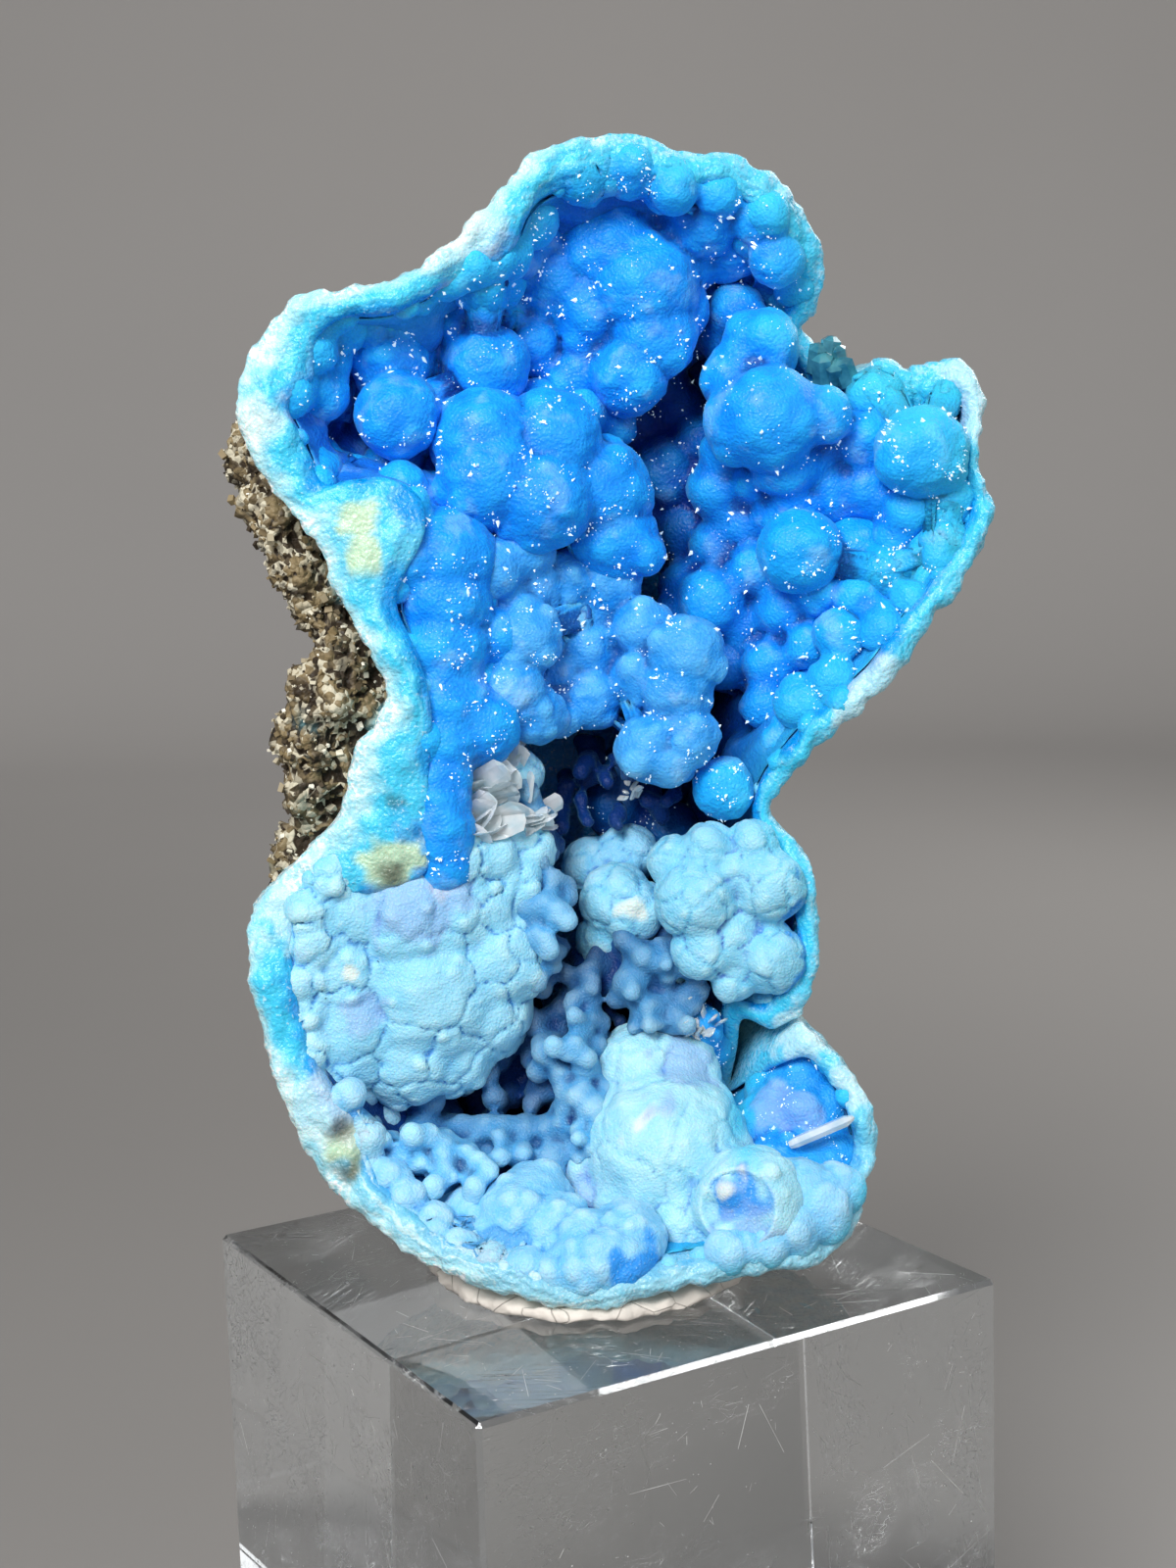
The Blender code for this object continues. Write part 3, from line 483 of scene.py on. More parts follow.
def fused_balls(name, centres, radii, voxel, detail=(18, 28)):
    """Overlapping balls, made one skin."""
    points, faces = unit_ball(*detail)
    points, faces = copies(points, faces, centres, radii)
    made = mesh_object(name, points, faces)
    remesh = made.modifiers.new("Fuse", "REMESH")
    remesh.mode = "VOXEL"
    remesh.voxel_size = voxel
    remesh.use_smooth_shade = True
    apply_modifiers(made)
    return made


def mesh_points(obj):
    """The places of a mesh's points, one row each."""
    points = np.empty(len(obj.data.vertices) * 3)
    obj.data.vertices.foreach_get("co", points)
    return points.reshape(-1, 3)


def mesh_normals(obj):
    """The normals at a mesh's points, one row each."""
    normals = np.empty(len(obj.data.vertices) * 3)
    obj.data.vertex_normals.foreach_get("vector", normals)
    return normals.reshape(-1, 3)


def set_points(obj, points):
    """Moves a mesh's points to new places."""
    obj.data.vertices.foreach_set("co", points.ravel())
    obj.data.update()


def put(obj, name, values):
    """Writes one number for each point of the mesh, for its material to read."""
    layer = obj.data.attributes.new(name, "FLOAT", "POINT")
    layer.data.foreach_set("value", np.asarray(values, dtype=np.float32))


def evened(obj, own, rounds):
    """A mesh's points, each round mixed with the mean of its neighbours: own is the share it keeps."""
    points = mesh_points(obj)
    edges = np.empty(len(obj.data.edges) * 2, dtype=np.int32)
    obj.data.edges.foreach_get("vertices", edges)
    a, b = edges.reshape(-1, 2).T
    count = np.maximum(np.bincount(edges, minlength=len(points)), 1)
    for _ in range(rounds):
        for axis in range(3):
            values = points[:, axis]
            total = np.bincount(a, values[b], len(points)) + np.bincount(b, values[a], len(points))
            points[:, axis] = own * values + (1 - own) * total / count
    return points


def relax(obj, rounds):
    """Softens the creases of a fused skin by moving each point towards the middle of its neighbours."""
    set_points(obj, evened(obj, 0.4, rounds))


def pebble(obj, count, low, high, sunk, seed):
    """Raises low round lumps over a skin, each a small ball sunk in it by a share of its radius."""
    chance = np.random.default_rng(seed)
    points, normals = mesh_points(obj), mesh_normals(obj)
    pick = chance.choice(len(points), min(count, len(points)), replace=False)
    sizes = chance.uniform(low, high, len(pick)) * MM
    centres = points[pick] - normals[pick] * (sizes * sunk)[:, None]
    calm = 1 - smooth(0.02 * MM, 0.12 * MM, hollowness(obj, 6))
    set_points(obj, points + normals * (calm * lumped(points, normals, centres, sizes))[:, None])


def scattered(obj, spacing, size, seed):
    """Seeds on a skin for plated(), each with a size, and no nearer to one another than a spacing in
    millimetres."""
    chance = np.random.default_rng(seed)
    points = mesh_points(obj)
    pool = points[chance.choice(len(points), min(2600, len(points)), replace=False)]
    kept = pool[:1]
    for point in pool[1:]:
        if ((kept - point) ** 2).sum(1).min() > (spacing * MM) ** 2:
            kept = np.vstack((kept, point))
    return np.column_stack((kept, chance.uniform(0, size, len(kept)) * MM))


def plated(obj, seeds, crease, dome, width):
    """Splits a skin into low plates, each swollen a little, with a thin crease between neighbours."""
    points, normals = mesh_points(obj), mesh_normals(obj)
    bent = points + 0.25 * MM * np.column_stack([waves(points, 2.4 * MM, 80 + k) for k in range(3)])
    first, second = np.full(len(points), 9.0), np.full(len(points), 9.0)
    for seed in seeds:
        away = np.linalg.norm(bent - seed[:3], axis=1) - seed[3]
        second = np.minimum(second, np.maximum(first, away))
        first = np.minimum(first, away)
    gap = (second - first) / MM
    rise = dome * (1 - np.exp(-gap / (4 * width))) - crease * np.exp(-gap / width)
    set_points(obj, points + normals * (rise * MM)[:, None])


def hollowness(obj, rounds):
    """How deep each point lies below its smoothed surroundings, in metres: creases are above 0 and crests
    below."""
    points, normals = mesh_points(obj), mesh_normals(obj)
    return ((evened(obj, 0.5, rounds) - points) * normals).sum(1)


def rim_nearness(points, reach):
    """1 at the outer edge of the mouth as seen from the front, down to 0 at reach inside it."""
    rim, _, _ = matched_edges(400)
    best = np.full(len(points), 9.0)
    for place in rim:
        across = (points[:, 0] - place[0]) ** 2 + (points[:, 2] - place[2]) ** 2
        best = np.minimum(best, across)
    return 1 - smooth(0, reach, np.sqrt(best))


def patches(points, spots, soft=0.2):
    """Strength from 0 to 1 near a list of spots (across, down, back, radius in mm), with ragged edges."""
    rough = 1 + 0.22 * waves(points, 2.2 * MM, 71)
    total = np.zeros(len(points))
    for (across, down, back, radius) in spots:
        away = np.linalg.norm(points - seen((across, down, back)), axis=1) / (radius * MM)
        total = np.maximum(total, 1 - smooth(1 - soft, 1 + soft, away * rough))
    return total


def settle(obj, slot, material, *nodes):
    """Gives a finished piece its only material and its body, and hides the nodes that it stands for; the slot
    is not used.
    """
    obj.data.materials.clear()
    obj.data.materials.append(material)
    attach(obj, "root")
    if nodes:
        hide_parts(*nodes)
    return obj


# ---- materials ----


def paint(red, green, blue):
    """A colour given by its picture values from 0 to 255, as Blender's sockets hold it."""
    share = np.array((red, green, blue)) / 255
    return tuple(float(v) for v in np.where(share <= 0.04045, share / 12.92,
                                            ((share + 0.055) / 1.055) ** 2.4))


def node(tree, kind, inputs=None, **settings):
    """A shader node with its settings; each input is a value or another node's output."""
    made = tree.nodes.new(kind)
    for name, value in settings.items():
        setattr(made, name, value)
    for name, value in (inputs or {}).items():
        if isinstance(value, bpy.types.NodeSocket):
            tree.links.new(value, made.inputs[name])
        elif isinstance(value, tuple) and len(value) == 3 and len(made.inputs[name].default_value) == 4:
            made.inputs[name].default_value = (*value, 1)
        else:
            made.inputs[name].default_value = value
    return made


def math_of(tree, operation, a, b=0.0, clamp=False):
    """The output of a maths node on one or two values."""
    return node(tree, "ShaderNodeMath", {0: a, 1: b}, operation=operation, use_clamp=clamp).outputs[0]


def mix_of(tree, a, b, share, blend="MIX"):
    """Two colours mixed by a share: 0 gives the first and 1 the second."""
    made = node(tree, "ShaderNodeMix", {0: share, 6: a, 7: b}, data_type="RGBA", blend_type=blend)
    return made.outputs[2]


def range_of(tree, value, low, high, to_low=0.0, to_high=1.0):
    """A value eased from one range to another and held at its ends."""
    inputs = {"Value": value, "From Min": low, "From Max": high, "To Min": to_low, "To Max": to_high}
    return node(tree, "ShaderNodeMapRange", inputs, interpolation_type="SMOOTHSTEP").outputs["Result"]


def read(tree, name):
    """A number that put() wrote, as a shader value."""
    return node(tree, "ShaderNodeAttribute", attribute_name=name).outputs["Fac"]


def place_of(tree):
    """The place of the shaded point in its object's own space."""
    return node(tree, "ShaderNodeTexCoord").outputs["Object"]


def new_group(name, inputs, outputs):
    """A node group with named sockets, with its given values and its output node."""
    group = bpy.data.node_groups.new(name, "ShaderNodeTree")
    for label, kind, default in inputs:
        socket = group.interface.new_socket(label, in_out="INPUT", socket_type=kind)
        socket.default_value = default
    for label, kind in outputs:
        group.interface.new_socket(label, in_out="OUTPUT", socket_type=kind)
    return group, node(group, "NodeGroupInput").outputs, node(group, "NodeGroupOutput")


def frost_group():
    """Fine crystal skin: small grains over a slow mottle, as a value and a height."""
    name = "crystal_frost"
    if name in bpy.data.node_groups:
        return bpy.data.node_groups[name]
    sockets = (("Grain Size", "NodeSocketFloat", 0.3), ("Mottle Size", "NodeSocketFloat", 2.0))
    group, given, out = new_group(name, sockets, (("Grain", "NodeSocketFloat"), ("Mottle", "NodeSocketFloat"),
                                                  ("Height", "NodeSocketFloat")))
    place = place_of(group)
    grain_scale = math_of(group, "DIVIDE", 1000.0, given["Grain Size"])
    mottle_scale = math_of(group, "DIVIDE", 1000.0, given["Mottle Size"])
    grain = node(group, "ShaderNodeTexVoronoi", {"Vector": place, "Scale": grain_scale}, feature="F1")
    mottle = node(group, "ShaderNodeTexNoise", {"Vector": place, "Scale": mottle_scale, "Detail": 4.0})
    fine = node(group, "ShaderNodeTexNoise", {"Vector": place, "Scale": grain_scale, "Detail": 2.0})
    height = math_of(group, "SUBTRACT", fine.outputs["Fac"],
                     math_of(group, "MULTIPLY", grain.outputs["Distance"], 0.6))
    group.links.new(grain.outputs["Distance"], out.inputs["Grain"])
    group.links.new(range_of(group, mottle.outputs["Fac"], 0.3, 0.7), out.inputs["Mottle"])
    group.links.new(height, out.inputs["Height"])
    return group


def frost(tree, grain, mottle):
    """The outputs of the fine crystal skin, for a grain size and a mottle size in millimetres."""
    made = node(tree, "ShaderNodeGroup", node_tree=frost_group())
    made.inputs["Grain Size"].default_value = grain
    made.inputs["Mottle Size"].default_value = mottle
    return made.outputs


def new_material(name):
    """A new material, its node tree and its shader."""
    made = bpy.data.materials.new(name)
    made.use_nodes = True
    tree = made.node_tree
    return made, tree, tree.nodes["Principled BSDF"]


def bump(tree, height, distance, strength=0.6):
    """A normal bent by a height."""
    return node(tree, "ShaderNodeBump",
                {"Height": height, "Distance": distance, "Strength": strength}).outputs[0]


def crust_material(name, deep, middle, light, edge, grain=0.3, frost_and_highlight=0.35, scatter=0.35):
    """Blue crust: deep colour far in and in creases as painted shade, light on crests as painted highlight,
    an edge colour at the mouth.
    """
    made, tree, shader = new_material(name)
    skin = frost(tree, grain, 2.4)
    crease, near, tone, depth = (read(tree, key) for key in ("crease", "near_rim", "tone", "depth"))
    # Crests are lightened towards the light colour: painted highlight.
    base = mix_of(tree, middle, light, range_of(tree, crease, 0.1, -1.2))
    # The frost share mixes a frost mottle, and pale clouds on the crests that are partly frost and partly
    # painted highlight.
    base = mix_of(tree, base, light, math_of(tree, "MULTIPLY", skin["Mottle"], frost_and_highlight))
    # Pale clouds on the crests: partly frost, partly painted highlight.
    crest_frost_and_highlight = node(tree, "ShaderNodeTexNoise",
                 {"Vector": place_of(tree), "Scale": 330.0, "Detail": 5.0}).outputs["Fac"]
    crest_frost_and_highlight = math_of(tree, "MULTIPLY", range_of(tree, crest_frost_and_highlight, 0.54, 0.7),
                    range_of(tree, crease, 0.3, -0.6, 0.2, 1.0))
    base = mix_of(tree, base, paint(176, 220, 246), math_of(tree, "MULTIPLY", crest_frost_and_highlight, frost_and_highlight))
    # Creases are darkened towards the deep colour: painted shade.
    base = mix_of(tree, base, deep, range_of(tree, crease, 0.05, 1.2, 0.0, 0.97))
    base = mix_of(tree, base, middle, math_of(tree, "MULTIPLY", tone, 0.35))
    base = mix_of(tree, base, edge, near)
    # Far back in the hollow the colour turns deep: painted shade.
    base = mix_of(tree, base, deep, depth)
    base = mix_of(tree, base, paint(0, 140, 232), math_of(tree, "MULTIPLY", read(tree, "glass"), 0.9))
    base = mix_of(tree, base, paint(220, 228, 218), math_of(tree, "MULTIPLY", read(tree, "cream"), 0.85))
    base = mix_of(tree, base, paint(140, 172, 222), math_of(tree, "MULTIPLY", read(tree, "lilac"), 0.6))
    rough = range_of(tree, skin["Grain"], 0.1, 0.7, 0.3, 0.55)
    tree.links.new(rough, shader.inputs["Roughness"])
    # Bright grain tops as painted glitter, held back in the deep parts.
    painted_glitter = range_of(tree, skin["Height"], 0.25, 0.6, 0.0, 0.35)
    base = mix_of(tree, base, light,
                  math_of(tree, "MULTIPLY", painted_glitter, range_of(tree, depth, 0.0, 0.7, 1.0, 0.0)))
    tree.links.new(base, shader.inputs["Base Color"])
    tree.links.new(bump(tree, skin["Height"], 0.0002, 0.55), shader.inputs["Normal"])
    shader.inputs["Subsurface Weight"].default_value = scatter
    shader.inputs["Subsurface Radius"].default_value = (0.15, 0.7, 1.0)
    shader.inputs["Subsurface Scale"].default_value = 0.0007
    shader.inputs["Specular IOR Level"].default_value = 0.3
    shader.inputs["Sheen Weight"].default_value = 0.2
    shader.inputs["Sheen Roughness"].default_value = 0.35
    shader.inputs["Sheen Tint"].default_value = (0.3, 0.75, 1.0, 1)
    return made


def rind_material(settings):
    """Broken rind: turquoise inside, a frosted white outer line, layers along it and a pale dull outer
    skin."""
    made, tree, shader = new_material("rind_band")
    skin = frost(tree, 0.35, 3.0)
    across, along, pale = (read(tree, key) for key in ("across", "along", "bleach"))
    green, brown, layered = read(tree, "green"), read(tree, "brown"), read(tree, "layered")
    warp = node(tree, "ShaderNodeTexNoise",
                {"Vector": place_of(tree), "Scale": 300.0, "Detail": 3.0}).outputs["Fac"]
    across_warped = math_of(tree, "ADD", across, range_of(tree, warp, 0.2, 0.8, -0.3, 0.3))
    grain = node(tree, "ShaderNodeTexNoise",
                 {"Vector": place_of(tree), "Scale": 2200.0, "Detail": 3.0}).outputs["Fac"]
    layer = node(tree, "ShaderNodeCombineXYZ", {"X": math_of(tree, "MULTIPLY", along, 0.08),
                                                "Y": math_of(tree, "MULTIPLY", across_warped,
                                                             5.0)}).outputs[0]
    layers = node(tree, "ShaderNodeTexNoise", {"Vector": layer, "Scale": 1.0, "Detail": 2.0}).outputs["Fac"]
    blue = mix_of(tree, tuple(settings.turquoise), paint(140, 202, 222), read(tree, "low"))
    pale_colour = tuple(settings.rim_pale)
    inmost = mix_of(tree, tuple(settings.rim_blue), paint(95, 180, 220), read(tree, "low"))
    base = mix_of(tree, inmost, blue, range_of(tree, across_warped, -0.1, 0.35))
    frosty = read(tree, "frosty")
    base = mix_of(tree, base, paint(70, 185, 222),
                  math_of(tree, "MULTIPLY", range_of(tree, warp, 0.55, 0.75), 0.6))
    paler = math_of(tree, "MULTIPLY", range_of(tree, across_warped, 0.35, 1.0), frosty)
    base = mix_of(tree, base, pale_colour, range_of(tree, paler, 0.0, 0.9))
    streak = math_of(tree, "MULTIPLY", range_of(tree, layers, 0.5, 0.62), layered)
    base = mix_of(tree, base, paint(196, 228, 232), streak)
    edge = math_of(tree, "MULTIPLY", range_of(tree, across_warped, 0.7, 1.05),
                   range_of(tree, grain, 0.42, 0.6))
    edge = math_of(tree, "MULTIPLY", edge, range_of(tree, frosty, 0.0, 0.8, 0.15, 1.0))
    base = mix_of(tree, base, paint(240, 248, 246), edge)
    base = mix_of(tree, base, paint(225, 243, 245), range_of(tree, grain, 0.62, 0.72, 0.0, 0.45))
    outside = range_of(tree, across, 1.02, 1.25)
    dull = mix_of(tree, tuple(settings.outside_pale), tuple(settings.outside_blue), skin["Mottle"])
    base = mix_of(tree, base, dull, outside)
    base = mix_of(tree, base, paint(196, 222, 184), green)
    base = mix_of(tree, base, paint(226, 240, 236), math_of(tree, "MULTIPLY", pale, 0.5))
    base = mix_of(tree, base, tuple(settings.rock_dark), math_of(tree, "MULTIPLY", brown, 0.8))
    tree.links.new(base, shader.inputs["Base Color"])
    tree.links.new(range_of(tree, grain, 0.4, 0.7, 0.25, 0.5), shader.inputs["Roughness"])
    height = math_of(tree, "ADD", skin["Height"], math_of(tree, "MULTIPLY", grain, 1.2))
    tree.links.new(bump(tree, height, 0.00018, 0.7), shader.inputs["Normal"])
    shader.inputs["Subsurface Weight"].default_value = 0.4
    shader.inputs["Subsurface Radius"].default_value = (0.3, 0.8, 1.0)
    shader.inputs["Subsurface Scale"].default_value = 0.0006
    shader.inputs["Coat Weight"].default_value = 0.15
    shader.inputs["Coat Roughness"].default_value = 0.2
    return made


def glint_material(name, colour, strength, other=(1.0, 1.0, 1.0)):
    """Clear crystal faces that catch the light: near white, sharp, a little see-through, and glowing by a
    strength as a painted glint.
    """
    made, tree, shader = new_material(name)
    skin = frost(tree, 0.6, 1.5)
    tree.links.new(mix_of(tree, colour, other, skin["Mottle"]), shader.inputs["Base Color"])
    tree.links.new(range_of(tree, skin["Grain"], 0.0, 0.8, 0.05, 0.18), shader.inputs["Roughness"])
    shader.inputs["Coat Weight"].default_value = 0.6
    shader.inputs["Coat Roughness"].default_value = 0.05
    # Emission by the given strength: a painted glow that makes the faces read as glints.
    shader.inputs["Emission Color"].default_value = (*colour, 1)
    shader.inputs["Emission Strength"].default_value = strength
    return made


def rock_material(settings):
    """Host rock: dark gaps between pale sandy grains, darker still in creases as painted shade, with bright
    specks and rusty stains.
    """
    made, tree, shader = new_material("host_rock")
    place = place_of(tree)
    skin = frost(tree, 0.5, 4.0)
    grains = node(tree, "ShaderNodeTexVoronoi", {"Vector": place, "Scale": 1500.0}, feature="F1")
    gaps = node(tree, "ShaderNodeTexNoise", {"Vector": place, "Scale": 420.0, "Detail": 5.0}).outputs["Fac"]
    pick = node(tree, "ShaderNodeSeparateColor", {"Color": grains.outputs["Color"]}).outputs[0]
    crease = read(tree, "crease")
    base = mix_of(tree, tuple(settings.rock_dark), tuple(settings.rock_brown),
                  range_of(tree, gaps, 0.35, 0.6))
    base = mix_of(tree, base, tuple(settings.rock_pale), range_of(tree, pick, 0.45, 0.9))
    # Darker in the creases: painted shade.
    base = mix_of(tree, base, tuple(settings.rock_dark), range_of(tree, crease, 0.0, 0.2))
    base = mix_of(tree, base, paint(120, 190, 200), math_of(tree, "MULTIPLY", read(tree, "bleach"), 0.8))
    tree.links.new(base, shader.inputs["Base Color"])
    tree.links.new(range_of(tree, pick, 0.0, 1.0, 0.55, 0.95), shader.inputs["Roughness"])
    height = math_of(tree, "SUBTRACT", gaps, grains.outputs["Distance"])
    height = math_of(tree, "ADD", height, math_of(tree, "MULTIPLY", skin["Height"], 0.4))
    tree.links.new(bump(tree, height, 0.0004, 0.9), shader.inputs["Normal"])
    return made


def putty_material(settings):
    """Dry putty: off-white, with hairline cracks, smears and a little grey dirt."""
    made, tree, shader = new_material("putty")
    place = place_of(tree)
    skin = frost(tree, 0.7, 5.0)
    cracks = node(tree, "ShaderNodeTexVoronoi", {"Vector": place, "Scale": 260.0}, feature="DISTANCE_TO_EDGE")
    crack = range_of(tree, cracks.outputs["Distance"], 0.0, 0.02)
    base = mix_of(tree, tuple(settings.putty), paint(196, 188, 180),
                  math_of(tree, "MULTIPLY", skin["Mottle"], 0.5))
    base = mix_of(tree, base, paint(165, 157, 148),
                  math_of(tree, "MULTIPLY", range_of(tree, crack, 1.0, 0.0), 0.6))
    tree.links.new(base, shader.inputs["Base Color"])
    tree.links.new(range_of(tree, skin["Grain"], 0.0, 0.8, 0.65, 0.9), shader.inputs["Roughness"])
    height = math_of(tree, "ADD", math_of(tree, "MULTIPLY", crack, 0.8),
                     math_of(tree, "MULTIPLY", skin["Height"], 0.6))
    tree.links.new(bump(tree, height, 0.0002, 0.7), shader.inputs["Normal"])
    return made


def acrylic_material(settings):
    """Clear acrylic with hairline scratches and specks of dust on its faces."""
    made, tree, shader = new_material("acrylic")
    place = place_of(tree)
    scratched = 0.0
    for turn, scale in ((0.5, 36.0), (-0.9, 30.0), (1.9, 42.0)):
        turned = node(tree, "ShaderNodeMapping", {"Vector": place, "Rotation": (turn, turn * 0.7, turn * 1.3),
                                                  "Scale": (1.0, 24.0, 24.0)}).outputs[0]
        noise = node(tree, "ShaderNodeTexNoise",
                     {"Vector": turned, "Scale": scale, "Detail": 1.0}).outputs["Fac"]
        line = range_of(tree, math_of(tree, "ABSOLUTE", math_of(tree, "SUBTRACT", noise, 0.5)), 0.006, 0.0)
        scratched = math_of(tree, "ADD", line, scratched) if scratched else line
    cover = node(tree, "ShaderNodeTexNoise", {"Vector": place, "Scale": 90.0, "Detail": 2.0}).outputs["Fac"]
    scratched = math_of(tree, "MULTIPLY", scratched, range_of(tree, cover, 0.5, 0.72), clamp=True)
    dust = node(tree, "ShaderNodeTexVoronoi", {"Vector": place, "Scale": 700.0},
                feature="F1").outputs["Distance"]
    speck = math_of(tree, "MULTIPLY", range_of(tree, dust, 0.09, 0.03), range_of(tree, cover, 0.45, 0.6))
    mark = math_of(tree, "ADD", scratched, speck, clamp=True)
    tree.links.new(mix_of(tree, tuple(settings.acrylic), paint(250, 250, 250), mark),
                   shader.inputs["Base Color"])
    tree.links.new(range_of(tree, mark, 0.0, 1.0, 0.02, 0.45), shader.inputs["Roughness"])
    tree.links.new(bump(tree, scratched, 0.0001, 0.35), shader.inputs["Normal"])
    shader.inputs["Transmission Weight"].default_value = 1.0
    shader.inputs["IOR"].default_value = 1.49
    return made


# ---- settings ----


def colour(name, description, default):
    """A colour setting whose default is given by its picture values from 0 to 255."""
    return FloatVectorProperty(name=name, description=description, subtype="COLOR", size=3, min=0, max=1,
                               default=paint(*default))


class StoneSettings(bpy.types.PropertyGroup):
    """Colours, counts and sizes of the pieces"""
    # Deep colours below stand for painted shade in creases and far back, light colours for painted highlight
    # on crests.
    azure_deep: colour("Deep azure", "Creases of the upper balls", (0, 42, 125))
    azure: colour("Azure", "Body of the upper balls", (0, 134, 236))
    azure_light: colour("Light azure", "Crests of the upper balls", (35, 182, 252))
    turquoise: colour("Turquoise", "Inner side of the broken rind", (60, 200, 235))
    rim_blue: colour("Blue rind", "Inmost edge of the broken rind", (0, 150, 225))
    rim_pale: colour("Pale rind", "Outer side of the broken rind", (170, 225, 235))
    sky: colour("Sky blue", "Body of the lower crust", (95, 186, 238))
    sky_light: colour("Light sky blue", "Crests of the lower crust", (165, 218, 240))
    mint: colour("Mint", "Body of the cauliflower balls", (112, 196, 228))
    outside_pale: colour("Pale outside", "Outer skin of the rind", (170, 205, 205))
    outside_blue: colour("Blue outside", "Blue patches of the outer skin", (95, 170, 195))
    rock_dark: colour("Dark rock", "Gaps in the host rock", (48, 36, 20))
    rock_brown: colour("Brown rock", "Body of the host rock", (138, 120, 86))
    rock_pale: colour("Pale rock grains", "Grains of the host rock", (208, 200, 176))
    putty: colour("Putty", "The pad under the stone", (228, 219, 208))
    acrylic: colour("Acrylic", "The clear block", (244, 247, 248))
    voxel: FloatProperty(name="Detail", description="Size of the fused skin's faces", unit="LENGTH",
                         default=0.37 * MM, min=0.2 * MM, max=2 * MM, precision=5)
    grains: IntProperty(name="Rock grains", description="Loose grains on the host rock", default=5200, min=0)
    glints: IntProperty(name="Glints", description="Tiny crystals on the blue crust", default=6500, min=0)
    glint_size: FloatProperty(name="Glint size", description="Width of a tiny crystal", unit="LENGTH",
                              default=0.15 * MM, min=0.02 * MM, max=1 * MM, precision=5)


class StageSettings(bpy.types.PropertyGroup):
    """Colour of the floor and power of the lights"""
    floor: colour("Floor", "Floor and backdrop", (206, 201, 196))
    key_power: FloatProperty(name="Key light", description="Power of the large front light", unit="POWER",
                             default=3.5, min=0)
    fill_power: FloatProperty(name="Fill light", description="Power of the side light", unit="POWER",
                              default=0.6, min=0)
    back_power: FloatProperty(name="Back light", description="Power of the light behind", unit="POWER",
                              default=1.2, min=0)


# ---- pieces ----


def front_ways(count, chance, jitter):
    """Directions spread evenly over the front half of a ball, each shaken a little."""
    step = np.arange(count) + 0.5
    lift, turn = 1 - 1.15 * step / count, step * GOLDEN_ANGLE + chance.uniform(0, 6.3)
    flat = np.sqrt(np.maximum(1 - lift**2, 0))
    ways = np.column_stack((flat * np.cos(turn), -lift, flat * np.sin(turn)))
    ways += chance.normal(size=ways.shape) * jitter
    return ways / np.linalg.norm(ways, axis=1)[:, None]


def area_balls(area, chance, lumps=(2, 4), skin=0.9):
    """Centres and radii: each ball, its root back into the wall, and smaller lumps over its front."""
    centres, radii = [], []
    for across, down, back, radius in area:
        centre = seen((across, down, back))[0]
        depths = np.arange(back, min(back + 10, 21.5), radius * 0.7)
        root = seen([(across, down, depth) for depth in depths])
        centres.append(root)
        radii.append(radius * MM * np.linspace(1, 0.6, len(root)))
        if radius >= 2.0 and lumps[1] > 0:
            count = int(chance.integers(*lumps))
            ways = front_ways(count, chance, 0.4)
            sizes = radius * MM * chance.uniform(0.6, 0.8, count)
            centres.append(centre + ways * (radius * MM * 1.03 - sizes)[:, None])
            radii.append(sizes)
    return kept_inside(np.vstack(centres), np.concatenate(radii), skin * MM)


def broken_cap(obj, centre, radius, axis):
    """Breaks a ball's cap off: a flat disc a little below the rest, with a small peak on it."""
    points = mesh_points(obj)
    axis = axis / np.linalg.norm(axis)
    to = points - centre
    along = to @ axis
    flat = np.linalg.norm(to - along[:, None] * axis, axis=1)
    cap = (along > 0.72 * radius) & (flat < 0.72 * radius) & (along < 1.3 * radius)
    level = (0.72 - 0.06 * smooth(0.66, 0.58, flat / radius)) * radius
    peak = 1.5 * MM * np.maximum(1 - np.linalg.norm(points - centre - axis * 0.72 * radius
                                                    - np.array((-0.9, 0, 1.2)) * MM, axis=1) / (1.6 * MM), 0)
    points[cap] += ((level + peak - along)[:, None] * axis)[cap]
    set_points(obj, points)


def finish_crust(obj, rounds=22, near=6.0, roughness=0.05, soften=5, pebbles=(), relief=0.35,
                 deep=(8, 20)):
    """Softens, pebbles and roughens a fused crust and writes the numbers its material reads."""
    relax(obj, soften)
    for seed, (count, low, high, sunk) in enumerate(pebbles):
        pebble(obj, count, low, high, sunk, 90 + seed)
    points, normals = mesh_points(obj), mesh_normals(obj)
    swell = 0.10 * waves(points, 3.4 * MM, 5) + roughness * waves(points, 1.1 * MM, 9)
    set_points(obj, points + normals * (swell * MM)[:, None])
    points = mesh_points(obj)
    # Creases and crests, which the material paints as shade and highlight.
    put(obj, "crease", hollowness(obj, rounds) / (relief * MM))
    put(obj, "near_rim", 0.9 * rim_nearness(points, near * MM))
    # How far back each point lies; the material turns the far parts deep as painted shade.
    back = points[:, 1] - 0.1 * (points[:, 2] - BLOCK_TOP) + 8 * MM
    put(obj, "depth", smooth(deep[0] * MM, deep[1] * MM, back))
    put(obj, "tone", 0.5 + 0.5 * waves(points, 9 * MM, 21))


